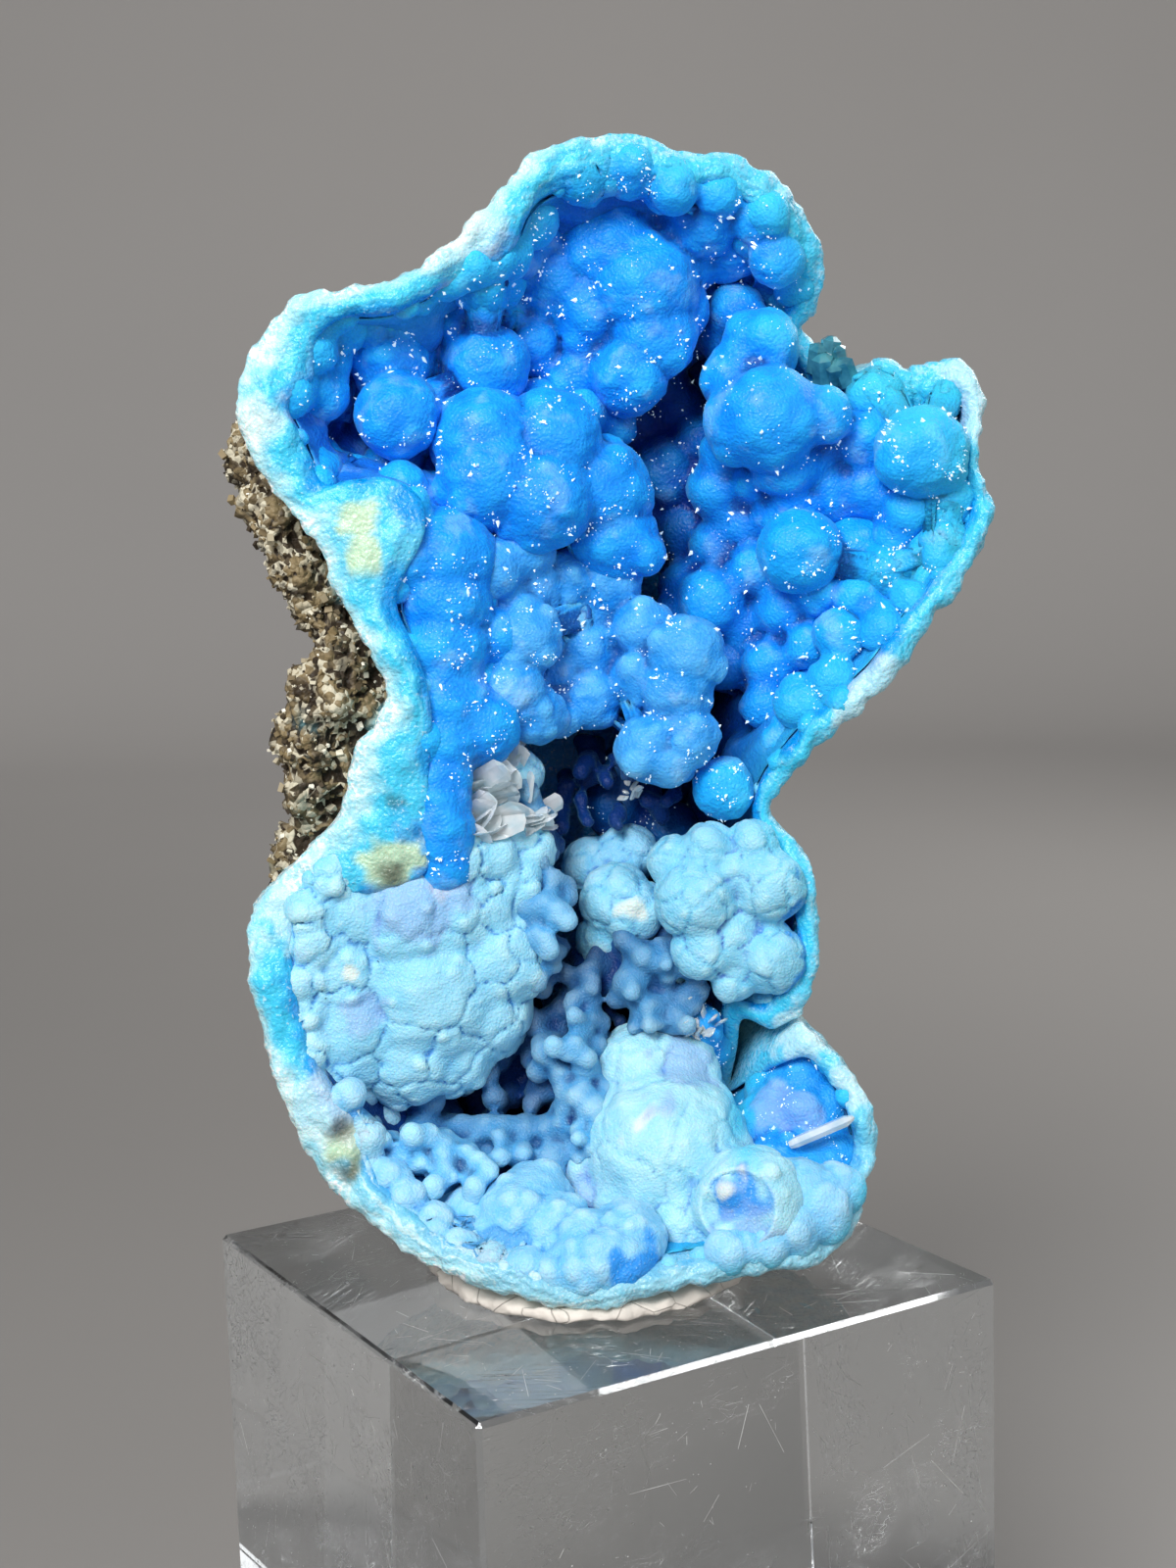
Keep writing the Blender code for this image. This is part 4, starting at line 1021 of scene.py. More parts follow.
class STONE_OT_rind(bpy.types.Operator):
    """Adds the broken rind: a closed shell from the hollow's wall over the band to the outer skin"""
    bl_idname = "stone.rind"
    bl_label = "Rind"

    def execute(self, context):
        columns = 800
        rim, hollow, along = matched_edges(columns)
        inner_turns = np.radians(np.linspace(60, 0, 9))
        outer_turns = np.radians(np.concatenate((
            np.linspace(0, 12, 14)[1:], np.linspace(12, 80, 42)[1:], (83, 85.5, 87.7, 89.1, 89.8, 89.99),
        )))
        band = np.linspace(0, 1, 22)[1:-1, None, None]
        inner = shell_rows(hollow, inner_turns, BACK_WALL)
        outer = shell_rows(rim, outer_turns)
        front = hollow[None] * (1 - band) + rim[None] * band
        front[..., 1] -= 0.9 * MM * np.sin(np.pi * band[..., 0]) ** 0.6
        rows = np.concatenate((inner, front, shell_rows(rim, np.zeros(1)), outer))
        levels = np.concatenate((np.linspace(-1, 0, 9), band[:, 0, 0], (1.0,), 1 + outer_turns))
        normals = -grid_normals(rows)
        chance = np.random.default_rng(11)
        pick = chance.integers(0, columns, 120)
        turn = chance.integers(58, len(rows) - 4, 120)
        size = chance.uniform(1.6, 3.6, 120) * MM
        lumps = rows[turn, pick] - normals[turn, pick] * (size * 0.66)[:, None]
        on_band = chance.integers(0, columns, 170)
        band_row = chance.integers(12, 31, 170)
        band_size = chance.uniform(0.9, 2.2, 170) * MM
        band_lumps = rows[band_row, on_band] - normals[band_row, on_band] * (band_size * 0.62)[:, None]
        height = lumped(rows, normals, np.vstack((lumps, band_lumps)), np.concatenate((size, band_size)))
        notch = np.linalg.norm(rim - seen((775, 1075, 4)), axis=1)
        seam = 1 - smooth(2.45, 2.565, levels)
        free = (smooth(-0.05, 0.08, levels) * seam)[:, None] * (0.12 + 0.88 * smooth(5 * MM, 9 * MM,
                                                                                     notch))[None]
        height = height * (0.3 + 0.7 * smooth(1.25, 1.6, levels))[:, None] - 0.12 * MM
        rough = 0.16 * waves(rows, 2.6 * MM, 3) + 0.07 * waves(rows, 0.9 * MM, 4)
        sunk = (0.25 * smooth(0.02, 0.25, -levels) - 0.3 * smooth(1.25, 1.8, levels))[:, None] * MM
        rows = rows + normals * (free * (height + rough * MM) - sunk)[..., None]
        points = rows.reshape(-1, 3)
        rind = mesh_object("rind_wall", points, grid_faces(len(rows), columns))
        face_outwards(rind)
        put(rind, "across", np.repeat(levels, columns))
        put(rind, "along", np.tile(along / MM, len(rows)))
        low = 1 - smooth(0.055 + BLOCK_TOP - 0.0508, 0.072 + BLOCK_TOP - 0.0508, points[:, 2])
        put(rind, "layered", 0.12 + 0.75 * smooth(0, 1, low * (points[:, 0] < 0)))
        put(rind, "low", low)
        put(rind, "frosty",
            1 - 0.8 * smooth(-4 * MM, 4 * MM, points[:, 0] - 2 * MM * waves(points, 6 * MM, 75)))
        put(rind, "bleach", patches(points, (
            (890, 705, 0, 3.6), (1000, 420, 4, 3.0), (985, 380, 5, 2.0), (820, 1060, -1, 2.6),
            (870, 1110, -2, 2.4),
            (300, 940, -5, 2.6), (322, 1130, -8, 3.4), (262, 430, -3, 2.4), (480, 235, 0, 2.6),
            (470, 300, 0, 2.0),
        )))
        put(rind, "green", 0.9 * patches(points, (
            (366, 530, -4.6, 1.5), (376, 520, -4.6, 1.1), (372, 566, -5.0, 1.7), (400, 880, -5, 2.4),
            (350, 1170, -8, 1.6),
        )))
        put(rind, "brown", patches(points, (
            (411, 822, -5, 0.9), (424, 846, -5, 0.6), (345, 1150, -8.5, 1.0), (352, 1190, -8.5, 1.2),
            (400, 892, -5, 1.3),
        ), 0.6))
        settle(rind, "rind", rind_material(context.scene.stone), "rind")
        return {"FINISHED"}


class STONE_OT_lining(bpy.types.Operator):
    """Adds the low crust on the hollow's wall: a closed skin swollen by balls all over it"""
    bl_idname = "stone.lining"
    bl_label = "Lining"

    def execute(self, context):
        settings = context.scene.stone
        columns = 520
        _, hollow, _ = matched_edges(columns)
        back_turns = np.radians(np.linspace(84, 2, 8))
        turns = np.radians(np.linspace(1, 85, 80))
        outer = shell_rows(hollow, back_turns, BACK_WALL - 0.3 * MM)
        inner = shell_rows(hollow, turns, BACK_WALL)
        rows = np.concatenate((outer, inner))
        normals = grid_normals(rows)
        toward = spine_at(rows[..., 2]) - rows
        if (normals[30:60] * toward[30:60]).sum() < 0:
            normals = -normals
        chance = np.random.default_rng(8)
        count = 1500
        size = chance.uniform(0.9, 2.6, count) * MM
        pick = chance.integers(0, columns, count)
        turn = 9 + (chance.uniform(0, 1, count) ** 1.5 * (len(rows) - 10)).astype(int)
        centres = rows[turn, pick] + normals[turn, pick] * (size * 0.1)[:, None]
        inside = (np.arange(len(rows)) >= 9)[:, None]
        swell = smooth(np.radians(2), np.radians(16), np.concatenate((back_turns * 0, turns)))[:, None]
        height = (lumped(rows, normals, centres, size) + 0.7 * MM) * swell + 0.12 * MM
        rows = rows + normals * np.where(inside, height, 0)[..., None]
        lining = mesh_object("hollow_lining", rows.reshape(-1, 3), grid_faces(len(rows), columns))
        face_outwards(lining)
        finish_crust(lining, 16)
        # The low front of the lining is pushed to the deep colour as painted shade.
        points = mesh_points(lining)
        low = 1 - smooth(0.088, 0.1, points[:, 2])
        low *= smooth(-10 * MM, -5 * MM, points[:, 1])
        layer = lining.data.attributes["depth"].data
        depth = np.empty(len(points), dtype=np.float32)
        layer.foreach_get("value", depth)
        layer.foreach_set("value", np.maximum(depth, 0.85 * low).astype(np.float32))
        settle(lining, "crust", crust_material(
            "lining_blue", paint(0, 36, 100), paint(0, 98, 205), paint(40, 150, 235),
            tuple(settings.turquoise),
        ), "crust")
        return {"FINISHED"}


class STONE_OT_edge_balls(bpy.types.Operator):
    """Adds the low balls round the hollow's mouth and just inside it, where crust meets the broken rind"""
    bl_idname = "stone.edge_balls"
    bl_label = "Edge balls"

    def execute(self, context):
        settings = context.scene.stone
        chance = np.random.default_rng(19)
        rim, hollow, _ = matched_edges(900)
        centres, radii = [], []
        for count, low, high, first, last, outward in ((210, 0.8, 2.6, 0, 7, 0.34),
                                                       (300, 1.2, 3.2, 6, 34, -0.1)):
            pick = chance.integers(0, 900, count)
            turns = np.radians(chance.uniform(first, last, count))
            wall = np.array([shell_rows(hollow[i:i + 1], turn[None], BACK_WALL)[0, 0] for i,
                             turn in zip(pick, turns)])
            width = np.linalg.norm((rim - hollow)[pick][:, (0, 2)], axis=1)
            size = (low + (high - low) * chance.uniform(0, 1, count) ** 1.5) * MM
            size *= 0.62 + 0.38 * smooth(0.085, 0.1, wall[:, 2])
            if outward > 0:
                size = np.minimum(size, 0.6 * width)
            away = (rim - hollow)[pick] * (1.0, 0.0, 1.0)
            away /= np.linalg.norm(away, axis=1)[:, None]
            wall += away * (size * outward)[:, None]
            bold = smooth(-0.012, 0.0, wall[:, 0]) * smooth(0.09, 0.1, wall[:, 2])
            wall[:, 1] += (0.5 - 0.4 * bold) * size
            centres.append(wall)
            radii.append(size)
        centres, radii = kept_inside(np.vstack(centres), np.concatenate(radii), 0.5 * MM)
        azure = crust_material("edge_blue", tuple(settings.azure_deep), paint(0, 150, 235),
                               tuple(settings.azure_light), tuple(settings.turquoise))
        sky = crust_material("low_edge_blue", paint(20, 90, 170), paint(85, 175, 228),
                             tuple(settings.sky_light),
                             tuple(settings.turquoise))
        upper = (centres[:, 2] > 0.096) | ((centres[:, 0] > 0.017) & (centres[:, 2] > 0.06))
        for name, those, material in (("edge_balls", upper, azure), ("low_edge_balls", ~upper, sky)):
            balls = fused_balls(name, centres[those], radii[those], settings.voxel * 1.2)
            finish_crust(balls, near=np.where(mesh_points(balls)[:, 2] > 0.128, 7.5, 4.5), soften=1)
            settle(balls, "crust", material)
        return {"FINISHED"}


class STONE_OT_upper_balls(bpy.types.Operator):
    """Adds the deep blue balls of the roof, the ridge, the left wall and the recess"""
    bl_idname = "stone.upper_balls"
    bl_label = "Upper balls"

    def execute(self, context):
        settings = context.scene.stone
        chance = np.random.default_rng(2)
        azure = crust_material("azure_crust", tuple(settings.azure_deep), tuple(settings.azure),
                               tuple(settings.azure_light), tuple(settings.turquoise))
        frosty = crust_material("frosted_crust", tuple(settings.azure_deep), paint(16, 142, 228),
                                paint(95, 186, 240), tuple(settings.turquoise), frost_and_highlight=0.45)
        cyan = crust_material("cyan_crust", tuple(settings.azure_deep), paint(0, 156, 238),
                              tuple(settings.azure_light), tuple(settings.turquoise))
        smooth_kind = ((50, 1.6, 2.6, 0.82),)
        knobbly = ((170, 0.9, 1.8, 0.72),)
        groups = (
            ("roof_balls", ROOF, azure, smooth_kind), ("ridge_balls", RIDGE[:7], azure, smooth_kind),
            ("low_ridge_balls", RIDGE[7:] + HANGING_BALLS, frosty, knobbly),
            ("left_balls", LEFT_WALL, azure, ()), ("recess_balls", RECESS + FILL, azure, smooth_kind),
            ("wing_balls", WING, cyan, smooth_kind),
        )
        for name, area, material, pebbles in groups:
            centres, radii = area_balls(area, chance, (1, 2) if name == "left_balls" else (2, 4))
            balls = fused_balls(name, centres, radii,
                                settings.voxel * (1.35 if name == "recess_balls" else 1))
            finish_crust(balls, near=8.0 if name == "wing_balls" else 5.0, soften=1, pebbles=pebbles)
            settle(balls, "crust", material)
        return {"FINISHED"}


class STONE_OT_lower_balls(bpy.types.Operator):
    """Adds the paler balls of the lower hollow"""
    bl_idname = "stone.lower_balls"
    bl_label = "Lower balls"

    def execute(self, context):
        settings = context.scene.stone
        chance = np.random.default_rng(6)
        # Each triple: deep colour (painted shade in creases and far back), body colour, light colour (painted
        # highlight on crests).
        mint = (paint(75, 125, 195), tuple(settings.mint), paint(178, 222, 232))
        slope = (paint(55, 130, 205), paint(132, 206, 236), paint(188, 230, 238))
        wing = (paint(0, 70, 165), paint(0, 142, 230), paint(70, 190, 245))
        onion = (paint(85, 145, 210), paint(146, 212, 232), paint(196, 232, 236))
        foot = (paint(60, 140, 210), paint(112, 192, 236), paint(180, 222, 240))
        kinds = (
            ("cauliflower_balls", CAULIFLOWER, mint, ((160, 0.5, 0.8, 0.84),), 2),
            ("slope_balls", PALE_SLOPE, slope, ((110, 0.8, 1.4, 0.72), (160, 0.35, 0.6, 0.8)), 2),
            ("onion_balls", ONION_BALLS, onion, ((160, 0.8, 1.5, 0.93),), 2),
            ("low_wing_balls", LOW_WING, wing, ((90, 0.8, 1.6, 0.8),), 1),
            ("wing_foot_balls", WING_FOOT, foot, ((70, 1.0, 2.0, 0.86),), 2),
            ("floor_balls", FLOOR, foot, ((150, 0.9, 1.8, 0.82),), 1),
        )
        marks = (
            ("cauliflower_balls", "cream", ((648, 928, 0, 1.6),)),
            ("cauliflower_balls", "glass", ((824, 930, 1, 3.0), (826, 985, 1, 3.0), (812, 1014, 0, 1.6))),
            ("slope_balls", "cream", ((360, 993, -6, 0.7), (452, 902, -5, 1.2))),
            ("slope_balls", "lilac", ((417, 925, -6, 3.2), (370, 1035, -6, 1.8), (455, 905, -4.6, 2.4))),
            ("onion_balls", "cream",
             ((634, 1142, -9.4, 2.2), (660, 1132, -10.6, 2.6), (742, 1208, -14, 1.8))),
            ("onion_balls", "lilac", ((682, 1112, -9, 2.4), (600, 1230, -3, 4.0), (700, 1090, -2, 2.6),
                                      (770, 1262, -12, 3.0))),
            ("onion_balls", "glass", ((752, 1226, -14.2, 2.7),)),
            ("low_wing_balls", "lilac", ((818, 1132, -3, 1.8), (790, 1128, -1, 2.2))),
            ("floor_balls", "glass", ((664, 1306, -15.6, 3.0), (690, 1296, -14.6, 2.2))),
            ("floor_balls", "cream", ((606, 1288, -15.6, 0.7),)),
        )
        plates = {
            "slope_balls": ((
                (431, 1000, -6.1, 4.2), (360, 1039, -6.0, 2.3), (353, 990, -6.2, 1.5), (417, 925, -6.0, 3.0),
                (455, 925, -4.8, 2.0), (417, 1066, -5.0, 2.0), (456, 1066, -3.4, 1.8), (370, 930, -6.0, 1.8),
                (500, 975, -3.8, 1.6), (490, 1030, -3.4, 1.6),
            ), 2.8, 0.2, 0.22, 0.17),
            "cauliflower_balls": ((), 2.2, 0.15, 0.18, 0.16),
            "onion_balls": ((
                (655, 1150, -10.6, 4.4), (706, 1160, -11.0, 3.4), (640, 1200, -9.0, 2.4),
                (764, 1226, -14.4, 5.0),
            ), 3.0, 0.1, 0.18, 0.22),
            "wing_foot_balls": ((), 4.2, 0.08, 0.12, 0.25),
            "floor_balls": ((), 3.4, 0.06, 0.15, 0.25),
        }
        for name, area, shades, pebbles, soften in kinds:
            centres, radii = area_balls(area, chance, lumps=(0, 0), skin=0.4)
            balls = fused_balls(name, centres, radii, settings.voxel * 0.86)
            relax(balls, soften)
            if name in plates:
                spots, spacing, crease, dome, width = plates[name]
                seeds = scattered(balls, spacing, 0.5, 83)
                if spots:
                    wide = np.column_stack((seen([spot[:3] for spot in spots]),
                                            [spot[3] * MM for spot in spots]))
                    clear = [(np.linalg.norm(wide[:, :3] - seed[:3], axis=1) > wide[:, 3] + 1.2 * MM).all()
                             for seed in seeds]
                    seeds = np.vstack((wide, seeds[clear]))
                plated(balls, seeds, crease, dome, width)
            if name == "onion_balls":
                broken_cap(balls, seen((764, 1226, -9.6))[0], 5.0 * MM, np.array((-0.32, -0.93, 0.16)))
            finish_crust(balls, 8, near=2.5, roughness=0.03, soften=0, pebbles=pebbles, relief=0.16)
            points = mesh_points(balls)
            for owner, label, spots in marks:
                if owner == name:
                    put(balls, label, patches(points, spots))
            settle(balls, "crust", crust_material(name + "_skin", *shades, tuple(settings.turquoise),
                                                  grain=0.25, frost_and_highlight=0.4, scatter=0.28))
        return {"FINISHED"}


class STONE_OT_fingers(bpy.types.Operator):
    """Adds the beaded fingers of the lower hollow"""
    bl_idname = "stone.fingers"
    bl_label = "Fingers"

    def execute(self, context):
        settings = context.scene.stone
        chance = np.random.default_rng(14)
        runs = []
        for start, end, radius in FINGERS:
            runs.append((seen(start)[0], seen(end)[0], radius * MM))
        for middle, half, depths, lean, count, longest, radius in THICKETS:
            spread = chance.uniform(-1, 1, (count, 2)) * np.array(half)
            back = chance.uniform(*depths, count)
            roots = seen(np.column_stack((np.array(middle) + spread, back)))
            ways = chance.normal(size=(count, 3)) * 0.42
            ways += np.array((lean[0], -1.0, -lean[1]))
            ways /= np.linalg.norm(ways, axis=1)[:, None]
            lengths = chance.uniform(0.3, 1, count) * longest * MM
            sizes = chance.uniform(0.65, 1.2, count) * radius * MM
            for root, way, length, size in zip(roots, ways, lengths, sizes):
                runs.append((root - way * 2 * MM, root + way * length, size))
        centres, radii = [], []
        for start, end, radius in runs:
            count = max(3, int(np.linalg.norm(end - start) / (radius * 0.55)))
            share = np.linspace(0, 1, count)[:, None]
            line = start + (end - start) * share
            wander = chance.normal(size=(2, 3)) * radius * 0.3
            line += np.sin(np.pi * share) * wander[:1] + np.sin(2 * np.pi * share) * wander[1:]
            centres.append(line)
            radii.append(radius * (1 + 0.2 * np.sin(share[:, 0] * count * 2.2 + chance.uniform(0, 6))))
        centres, radii = kept_inside(np.vstack(centres), np.concatenate(radii), 0.2 * MM)
        fingers = fused_balls("fingers", centres, radii, 0.36 * MM, (10, 14))
        # From just behind the front the fingers turn navy as painted shade.
        finish_crust(fingers, 14, near=2.0, roughness=0.03, soften=1, relief=0.2, deep=(-1, 11))
        settle(fingers, "crust", crust_material(
            "finger_blue", paint(0, 44, 110), paint(84, 176, 232), tuple(settings.sky_light),
            tuple(settings.sky),
            grain=0.22, frost_and_highlight=0.3))
        return {"FINISHED"}


class STONE_OT_host_rock(bpy.types.Operator):
    """Adds the brown host rock on the outside"""
    bl_idname = "stone.host_rock"
    bl_label = "Host rock"

    def execute(self, context):
        chance = np.random.default_rng(3)
        rim, _, _ = matched_edges(800)
        left = rim[rim[:, 0] < spine_at(rim[:, 2])[:, 0]]
        centres, radii = [], []
        for row in ROCK_ROWS:
            height = seen((300, row, 0))[0][2]
            start = left[np.argmin(np.abs(left[:, 2] - height))]
            turns = ROCK_ANGLES[:int(chance.integers(ROCK_FEWEST, len(ROCK_ANGLES) + 1))]
            angles = np.radians(np.array(turns) + chance.uniform(-4, 4, len(turns)))
            centres.append(shell_rows(start[None], angles)[:, 0])
            radii.append(ROCK_RADIUS * chance.uniform(0.7, 1.25, len(turns)))
        edge = np.array(ROCK)
        centres.append(seen(edge[:, :3]))
        radii.append(edge[:, 3] * MM)
        rock = fused_balls("host_rock_crust", np.vstack(centres), np.concatenate(radii), 0.5 * MM)
        points, normals = mesh_points(rock), mesh_normals(rock)
        rough = 0.5 * waves(points, 4.5 * MM, 31) - 0.55 * np.abs(waves(points, 1.7 * MM, 32))
        rough += 0.22 * waves(points, 0.9 * MM, 33)
        set_points(rock, points + normals * (rough * MM)[:, None])
        # Creases, which the rock's material paints darker as shade.
        put(rock, "crease", hollowness(rock, 10) / (0.6 * MM))
        put(rock, "bleach", smooth(0.9, 1.6, waves(mesh_points(rock), 9 * MM, 35)))
        settle(rock, "host_rock", rock_material(context.scene.stone), "host_rock")
        return {"FINISHED"}


class STONE_OT_rock_grains(bpy.types.Operator):
    """Adds loose grains over the host rock: small blocks, pale, brown and dark"""
    bl_idname = "stone.rock_grains"
    bl_label = "Rock grains"

    def execute(self, context):
        settings = context.scene.stone
        chance = np.random.default_rng(36)
        rock = bpy.data.objects["host_rock_crust"]
        points, normals = mesh_points(rock), mesh_normals(rock)
        count = min(settings.grains, len(points))
        pick = chance.choice(len(points), count, replace=False)
        size = (0.1 + 0.3 * chance.uniform(0, 1, count) ** 3) * MM
        places = points[pick] + normals[pick] * (size * 0.2)[:, None]
        sizes = size[:, None] * chance.uniform(0.5, 1.3, (count, 3))
        frames = frames_along(chance.normal(size=(count, 3)), chance.uniform(0, 6.3, count))
        block, faces = unit_cube()
        block *= chance.uniform(0.6, 1.0, (8, 1))
        points, faces = copies(block, faces, places, sizes, frames)
        grains = mesh_object("rock_grains", points, faces, smooth_shaded=False)
        put(grains, "pick", np.repeat(chance.uniform(0, 1, count), 8))
        made, tree, shader = new_material("rock_grain")
        pick_value = read(tree, "pick")
        base = mix_of(tree, tuple(settings.rock_dark), tuple(settings.rock_brown),
                      range_of(tree, pick_value, 0.1, 0.45))
        base = mix_of(tree, base, tuple(settings.rock_pale), range_of(tree, pick_value, 0.5, 0.75))
        base = mix_of(tree, base, paint(246, 240, 222), range_of(tree, pick_value, 0.82, 0.95))
        tree.links.new(base, shader.inputs["Base Color"])
        tree.links.new(range_of(tree, pick_value, 0.0, 1.0, 0.8, 0.25), shader.inputs["Roughness"])
        settle(grains, "host_rock", made, "host_rock")
        return {"FINISHED"}


class STONE_OT_glints(bpy.types.Operator):
    """Adds the tiny crystals that glitter on the blue crust"""
    bl_idname = "stone.glints"
    bl_label = "Glints"

    def execute(self, context):
        settings = context.scene.stone
        chance = np.random.default_rng(40)
        places, ways = [], []
        for name in ("roof_balls", "ridge_balls", "low_ridge_balls", "left_balls", "recess_balls",
                     "wing_balls",
                     "low_wing_balls", "edge_balls"):
            obj = bpy.data.objects[name]
            points, normals = mesh_points(obj), mesh_normals(obj)
            # Kept mostly where the skin faces the front or up, towards the camera and the key light, as
            # painted glints.
            facing = chance.uniform(0, 1, len(points)) < np.maximum(-normals[:, 1], 0.6 * normals[:, 2])
            lively = waves(points, 3.0 * MM, 44) + 0.5 * waves(points, 1.2 * MM, 45)
            keep = np.flatnonzero(facing & (lively > 0.55))
            places.append(points[keep])
            ways.append(normals[keep])
        places, ways = np.vstack(places), np.vstack(ways)
        pick = chance.choice(len(places), min(settings.glints, len(places)), replace=False)
        places, ways = places[pick], ways[pick]
        ways = ways + chance.normal(size=ways.shape) * 0.45
        count = len(places)
        points = np.array(((1, 0, 0), (-1, 0, 0), (0, 1, 0), (0, -1, 0), (0, 0, 1), (0, 0, -1)), float)
        faces = [(0, 2, 4), (2, 1, 4), (1, 3, 4), (3, 0, 4), (2, 0, 5), (1, 2, 5), (3, 1, 5), (0, 3, 5)]
        size = settings.glint_size * (0.45 + 1.5 * chance.uniform(0, 1, count) ** 4)
        sizes = np.column_stack((size * 0.8, size * 0.55, size * chance.uniform(1.0, 2.2, count)))
        frames = frames_along(ways, chance.uniform(0, 6.3, count))
        points, faces = copies(points, faces, places, sizes, frames)
        glints = mesh_object("glints", points, faces, smooth_shaded=False)
        # Near white with a painted glow, standing in for the glints of the crystals' faces.
        settle(glints, "crust", glint_material("glint", paint(215, 245, 255), 0.35))
        return {"FINISHED"}


class STONE_OT_blades(bpy.types.Operator):
    """Adds the white bladed fans and the single white crystals"""
    bl_idname = "stone.blades"
    bl_label = "Blades"

    def execute(self, context):
        chance = np.random.default_rng(50)
        fans = (
            ((478, 846, 0), (0.8, -0.4, 0.5), 26, 5.0, 2.6, 0.4),
            ((490, 812, 1), (0.8, -0.4, 0.45), 24, 4.6, 2.4, 0.4),
            ((505, 780, 3), (0.5, -0.4, 0.7), 16, 3.4, 1.9, 0.5),
            ((712, 1050, 1), (0, -0.9, 0.3), 18, 2.2, 1.0, 0.7),
            ((640, 808, 8), (0.2, -0.7, 0.5), 8, 1.6, 0.7, 0.6),
            ((538, 838, 2), (0.8, -0.3, 0.3), 14, 3.0, 1.8, 0.5),
        )
        places, ways, sizes = [], [], []
        for root, lean, count, length, width, spread in fans:
            way = np.array(lean) + chance.normal(size=(count, 3)) * spread * 0.6
            way /= np.linalg.norm(way, axis=1)[:, None]
            long = length * chance.uniform(0.45, 1, count) * MM
            middle = seen(root)[0] + chance.normal(size=(count, 3)) * 0.7 * MM
            places.append(middle + way * (long / 2)[:, None])
            ways.append(way)
            sizes.append(np.column_stack((np.full(count, 0.5 * width * MM), np.full(count, 0.16 * MM),
                                          long / 2)))
        bar_start, bar_end = seen(((806, 1168, -5), (872, 1140, -6)))
        places.append((bar_start + bar_end)[None] / 2)
        ways.append((bar_end - bar_start)[None])
        sizes.append(np.array(((0.7 * MM, 0.5 * MM, np.linalg.norm(bar_end - bar_start) / 2),)))
        turn = np.linspace(0, 2 * np.pi, 6, endpoint=False)
        hexagon = np.column_stack((np.cos(turn), np.sin(turn)))
        points = np.vstack([np.column_stack((hexagon * s, np.full(6, z))) for s, z in
                            ((0.75, -1), (1, -0.8), (1, 0.72), (0.45, 0.95))] + [np.array(((0, 0, 1.0),))])
        index = np.arange(24).reshape(4, 6)
        right = np.roll(index, -1, axis=1)
        faces = [tuple(f) for f in np.stack((index[:-1], right[:-1], right[1:], index[1:]),
                                            axis=2).reshape(-1, 4)]
        faces += [(24, a, b) for a, b in zip(index[-1], right[-1])] + [tuple(index[0][::-1])]
        crystal_points, crystal_faces = points, faces
        places, ways, sizes = np.vstack(places), np.vstack(ways), np.vstack(sizes)
        frames = frames_along(ways, chance.uniform(0, 6.3, len(ways)))
        points, faces = copies(points, faces, places, sizes, frames)
        blades = mesh_object("white_blades", points, faces, smooth_shaded=False)
        face_outwards(blades)
        # A faint painted glow.
        material = glint_material("white_crystal", paint(214, 234, 240), 0.02)
        shader = material.node_tree.nodes["Principled BSDF"]
        shader.inputs["Transmission Weight"].default_value = 0.45
        shader.inputs["IOR"].default_value = 1.6
        settle(blades, "crust", material)
        roots = seen(((834, 366, 9.4), (846, 362, 9.2), (856, 368, 9.0), (840, 378, 8.8), (850, 380, 8.8),
                      (862, 380, 8.6)))
        ways = np.array((0.15, -0.3, 0.9)) + chance.normal(size=(len(roots), 3)) * 0.2
        sizes = np.column_stack((chance.uniform(0.8, 1.15, (len(roots), 2)),
                                 chance.uniform(1.2, 1.9, len(roots)))) * MM
        stub_points, stub_faces = copies(crystal_points, crystal_faces, roots, sizes,
                                         frames_along(ways, chance.uniform(0, 6.3, len(roots))))
        stub = mesh_object("stub_crystal", stub_points, stub_faces, smooth_shaded=False)
        face_outwards(stub)
        settle(stub, "crust", glint_material("stub_crystal", paint(28, 92, 112), 0.0, paint(70, 140, 150)))
        return {"FINISHED"}


class STONE_OT_putty(bpy.types.Operator):
    """Adds the putty: a round wedge with a ragged, cracked edge"""
    bl_idname = "stone.putty"
    bl_label = "Putty"

    def execute(self, context):
        low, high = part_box("putty")
        middle = (low + high) / 2
        half = (high - low) / 2
        columns = 260
        turn = np.linspace(0, 2 * np.pi, columns, endpoint=False)
        share = 0.5 - np.cos(turn) / 2
        thick = (1.3 + 6.2 * share**1.6) * MM
        profile = np.array(((0.02, 0), (0.5, 0), (0.9, 0), (0.97, 0.02), (1.0, 0.15), (1.005, 0.35),
                            (1.0, 0.55),
                            (0.985, 0.75), (0.96, 0.9), (0.92, 0.98), (0.85, 1.0), (0.6, 1.0), (0.3, 1.0),
                            (0.02, 1.0)))
        rows = np.empty((len(profile), columns, 3))
        rows[..., 0] = middle.x + half.x * profile[:, :1] * np.sin(turn)
        rows[..., 1] = middle.y - half.y * profile[:, :1] * np.cos(turn)
        rows[..., 2] = low.z - 0.25 * MM + thick * profile[:, 1:]
        ragged = 0.35 * waves(rows, 4 * MM, 61) + 0.14 * waves(rows, 1.3 * MM, 62)
        side = smooth(0.5, 0.95, profile[:, :1]) * smooth(0.0, 0.1, profile[:, 1:] + 0.02)
        outward = np.stack((np.sin(turn), -np.cos(turn), 0 * turn), axis=1)
        rows += outward[None] * (side * (ragged - 0.3) * MM)[..., None]
        rows[..., 2] += side * 0.25 * MM * waves(rows, 3 * MM, 63)
        putty = mesh_object("putty_pad", rows.reshape(-1, 3), grid_faces(len(rows), columns))
        face_outwards(putty)
        settle(putty, "putty", putty_material(context.scene.stone), "putty")
        return {"FINISHED"}


class STONE_OT_block(bpy.types.Operator):
    """Gives the clear block its finish"""
    bl_idname = "stone.block"
    bl_label = "Block"

    def execute(self, context):
        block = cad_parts["acrylic_block"]
        block.data.materials.clear()
        block.data.materials.append(acrylic_material(context.scene.stone))
        return {"FINISHED"}


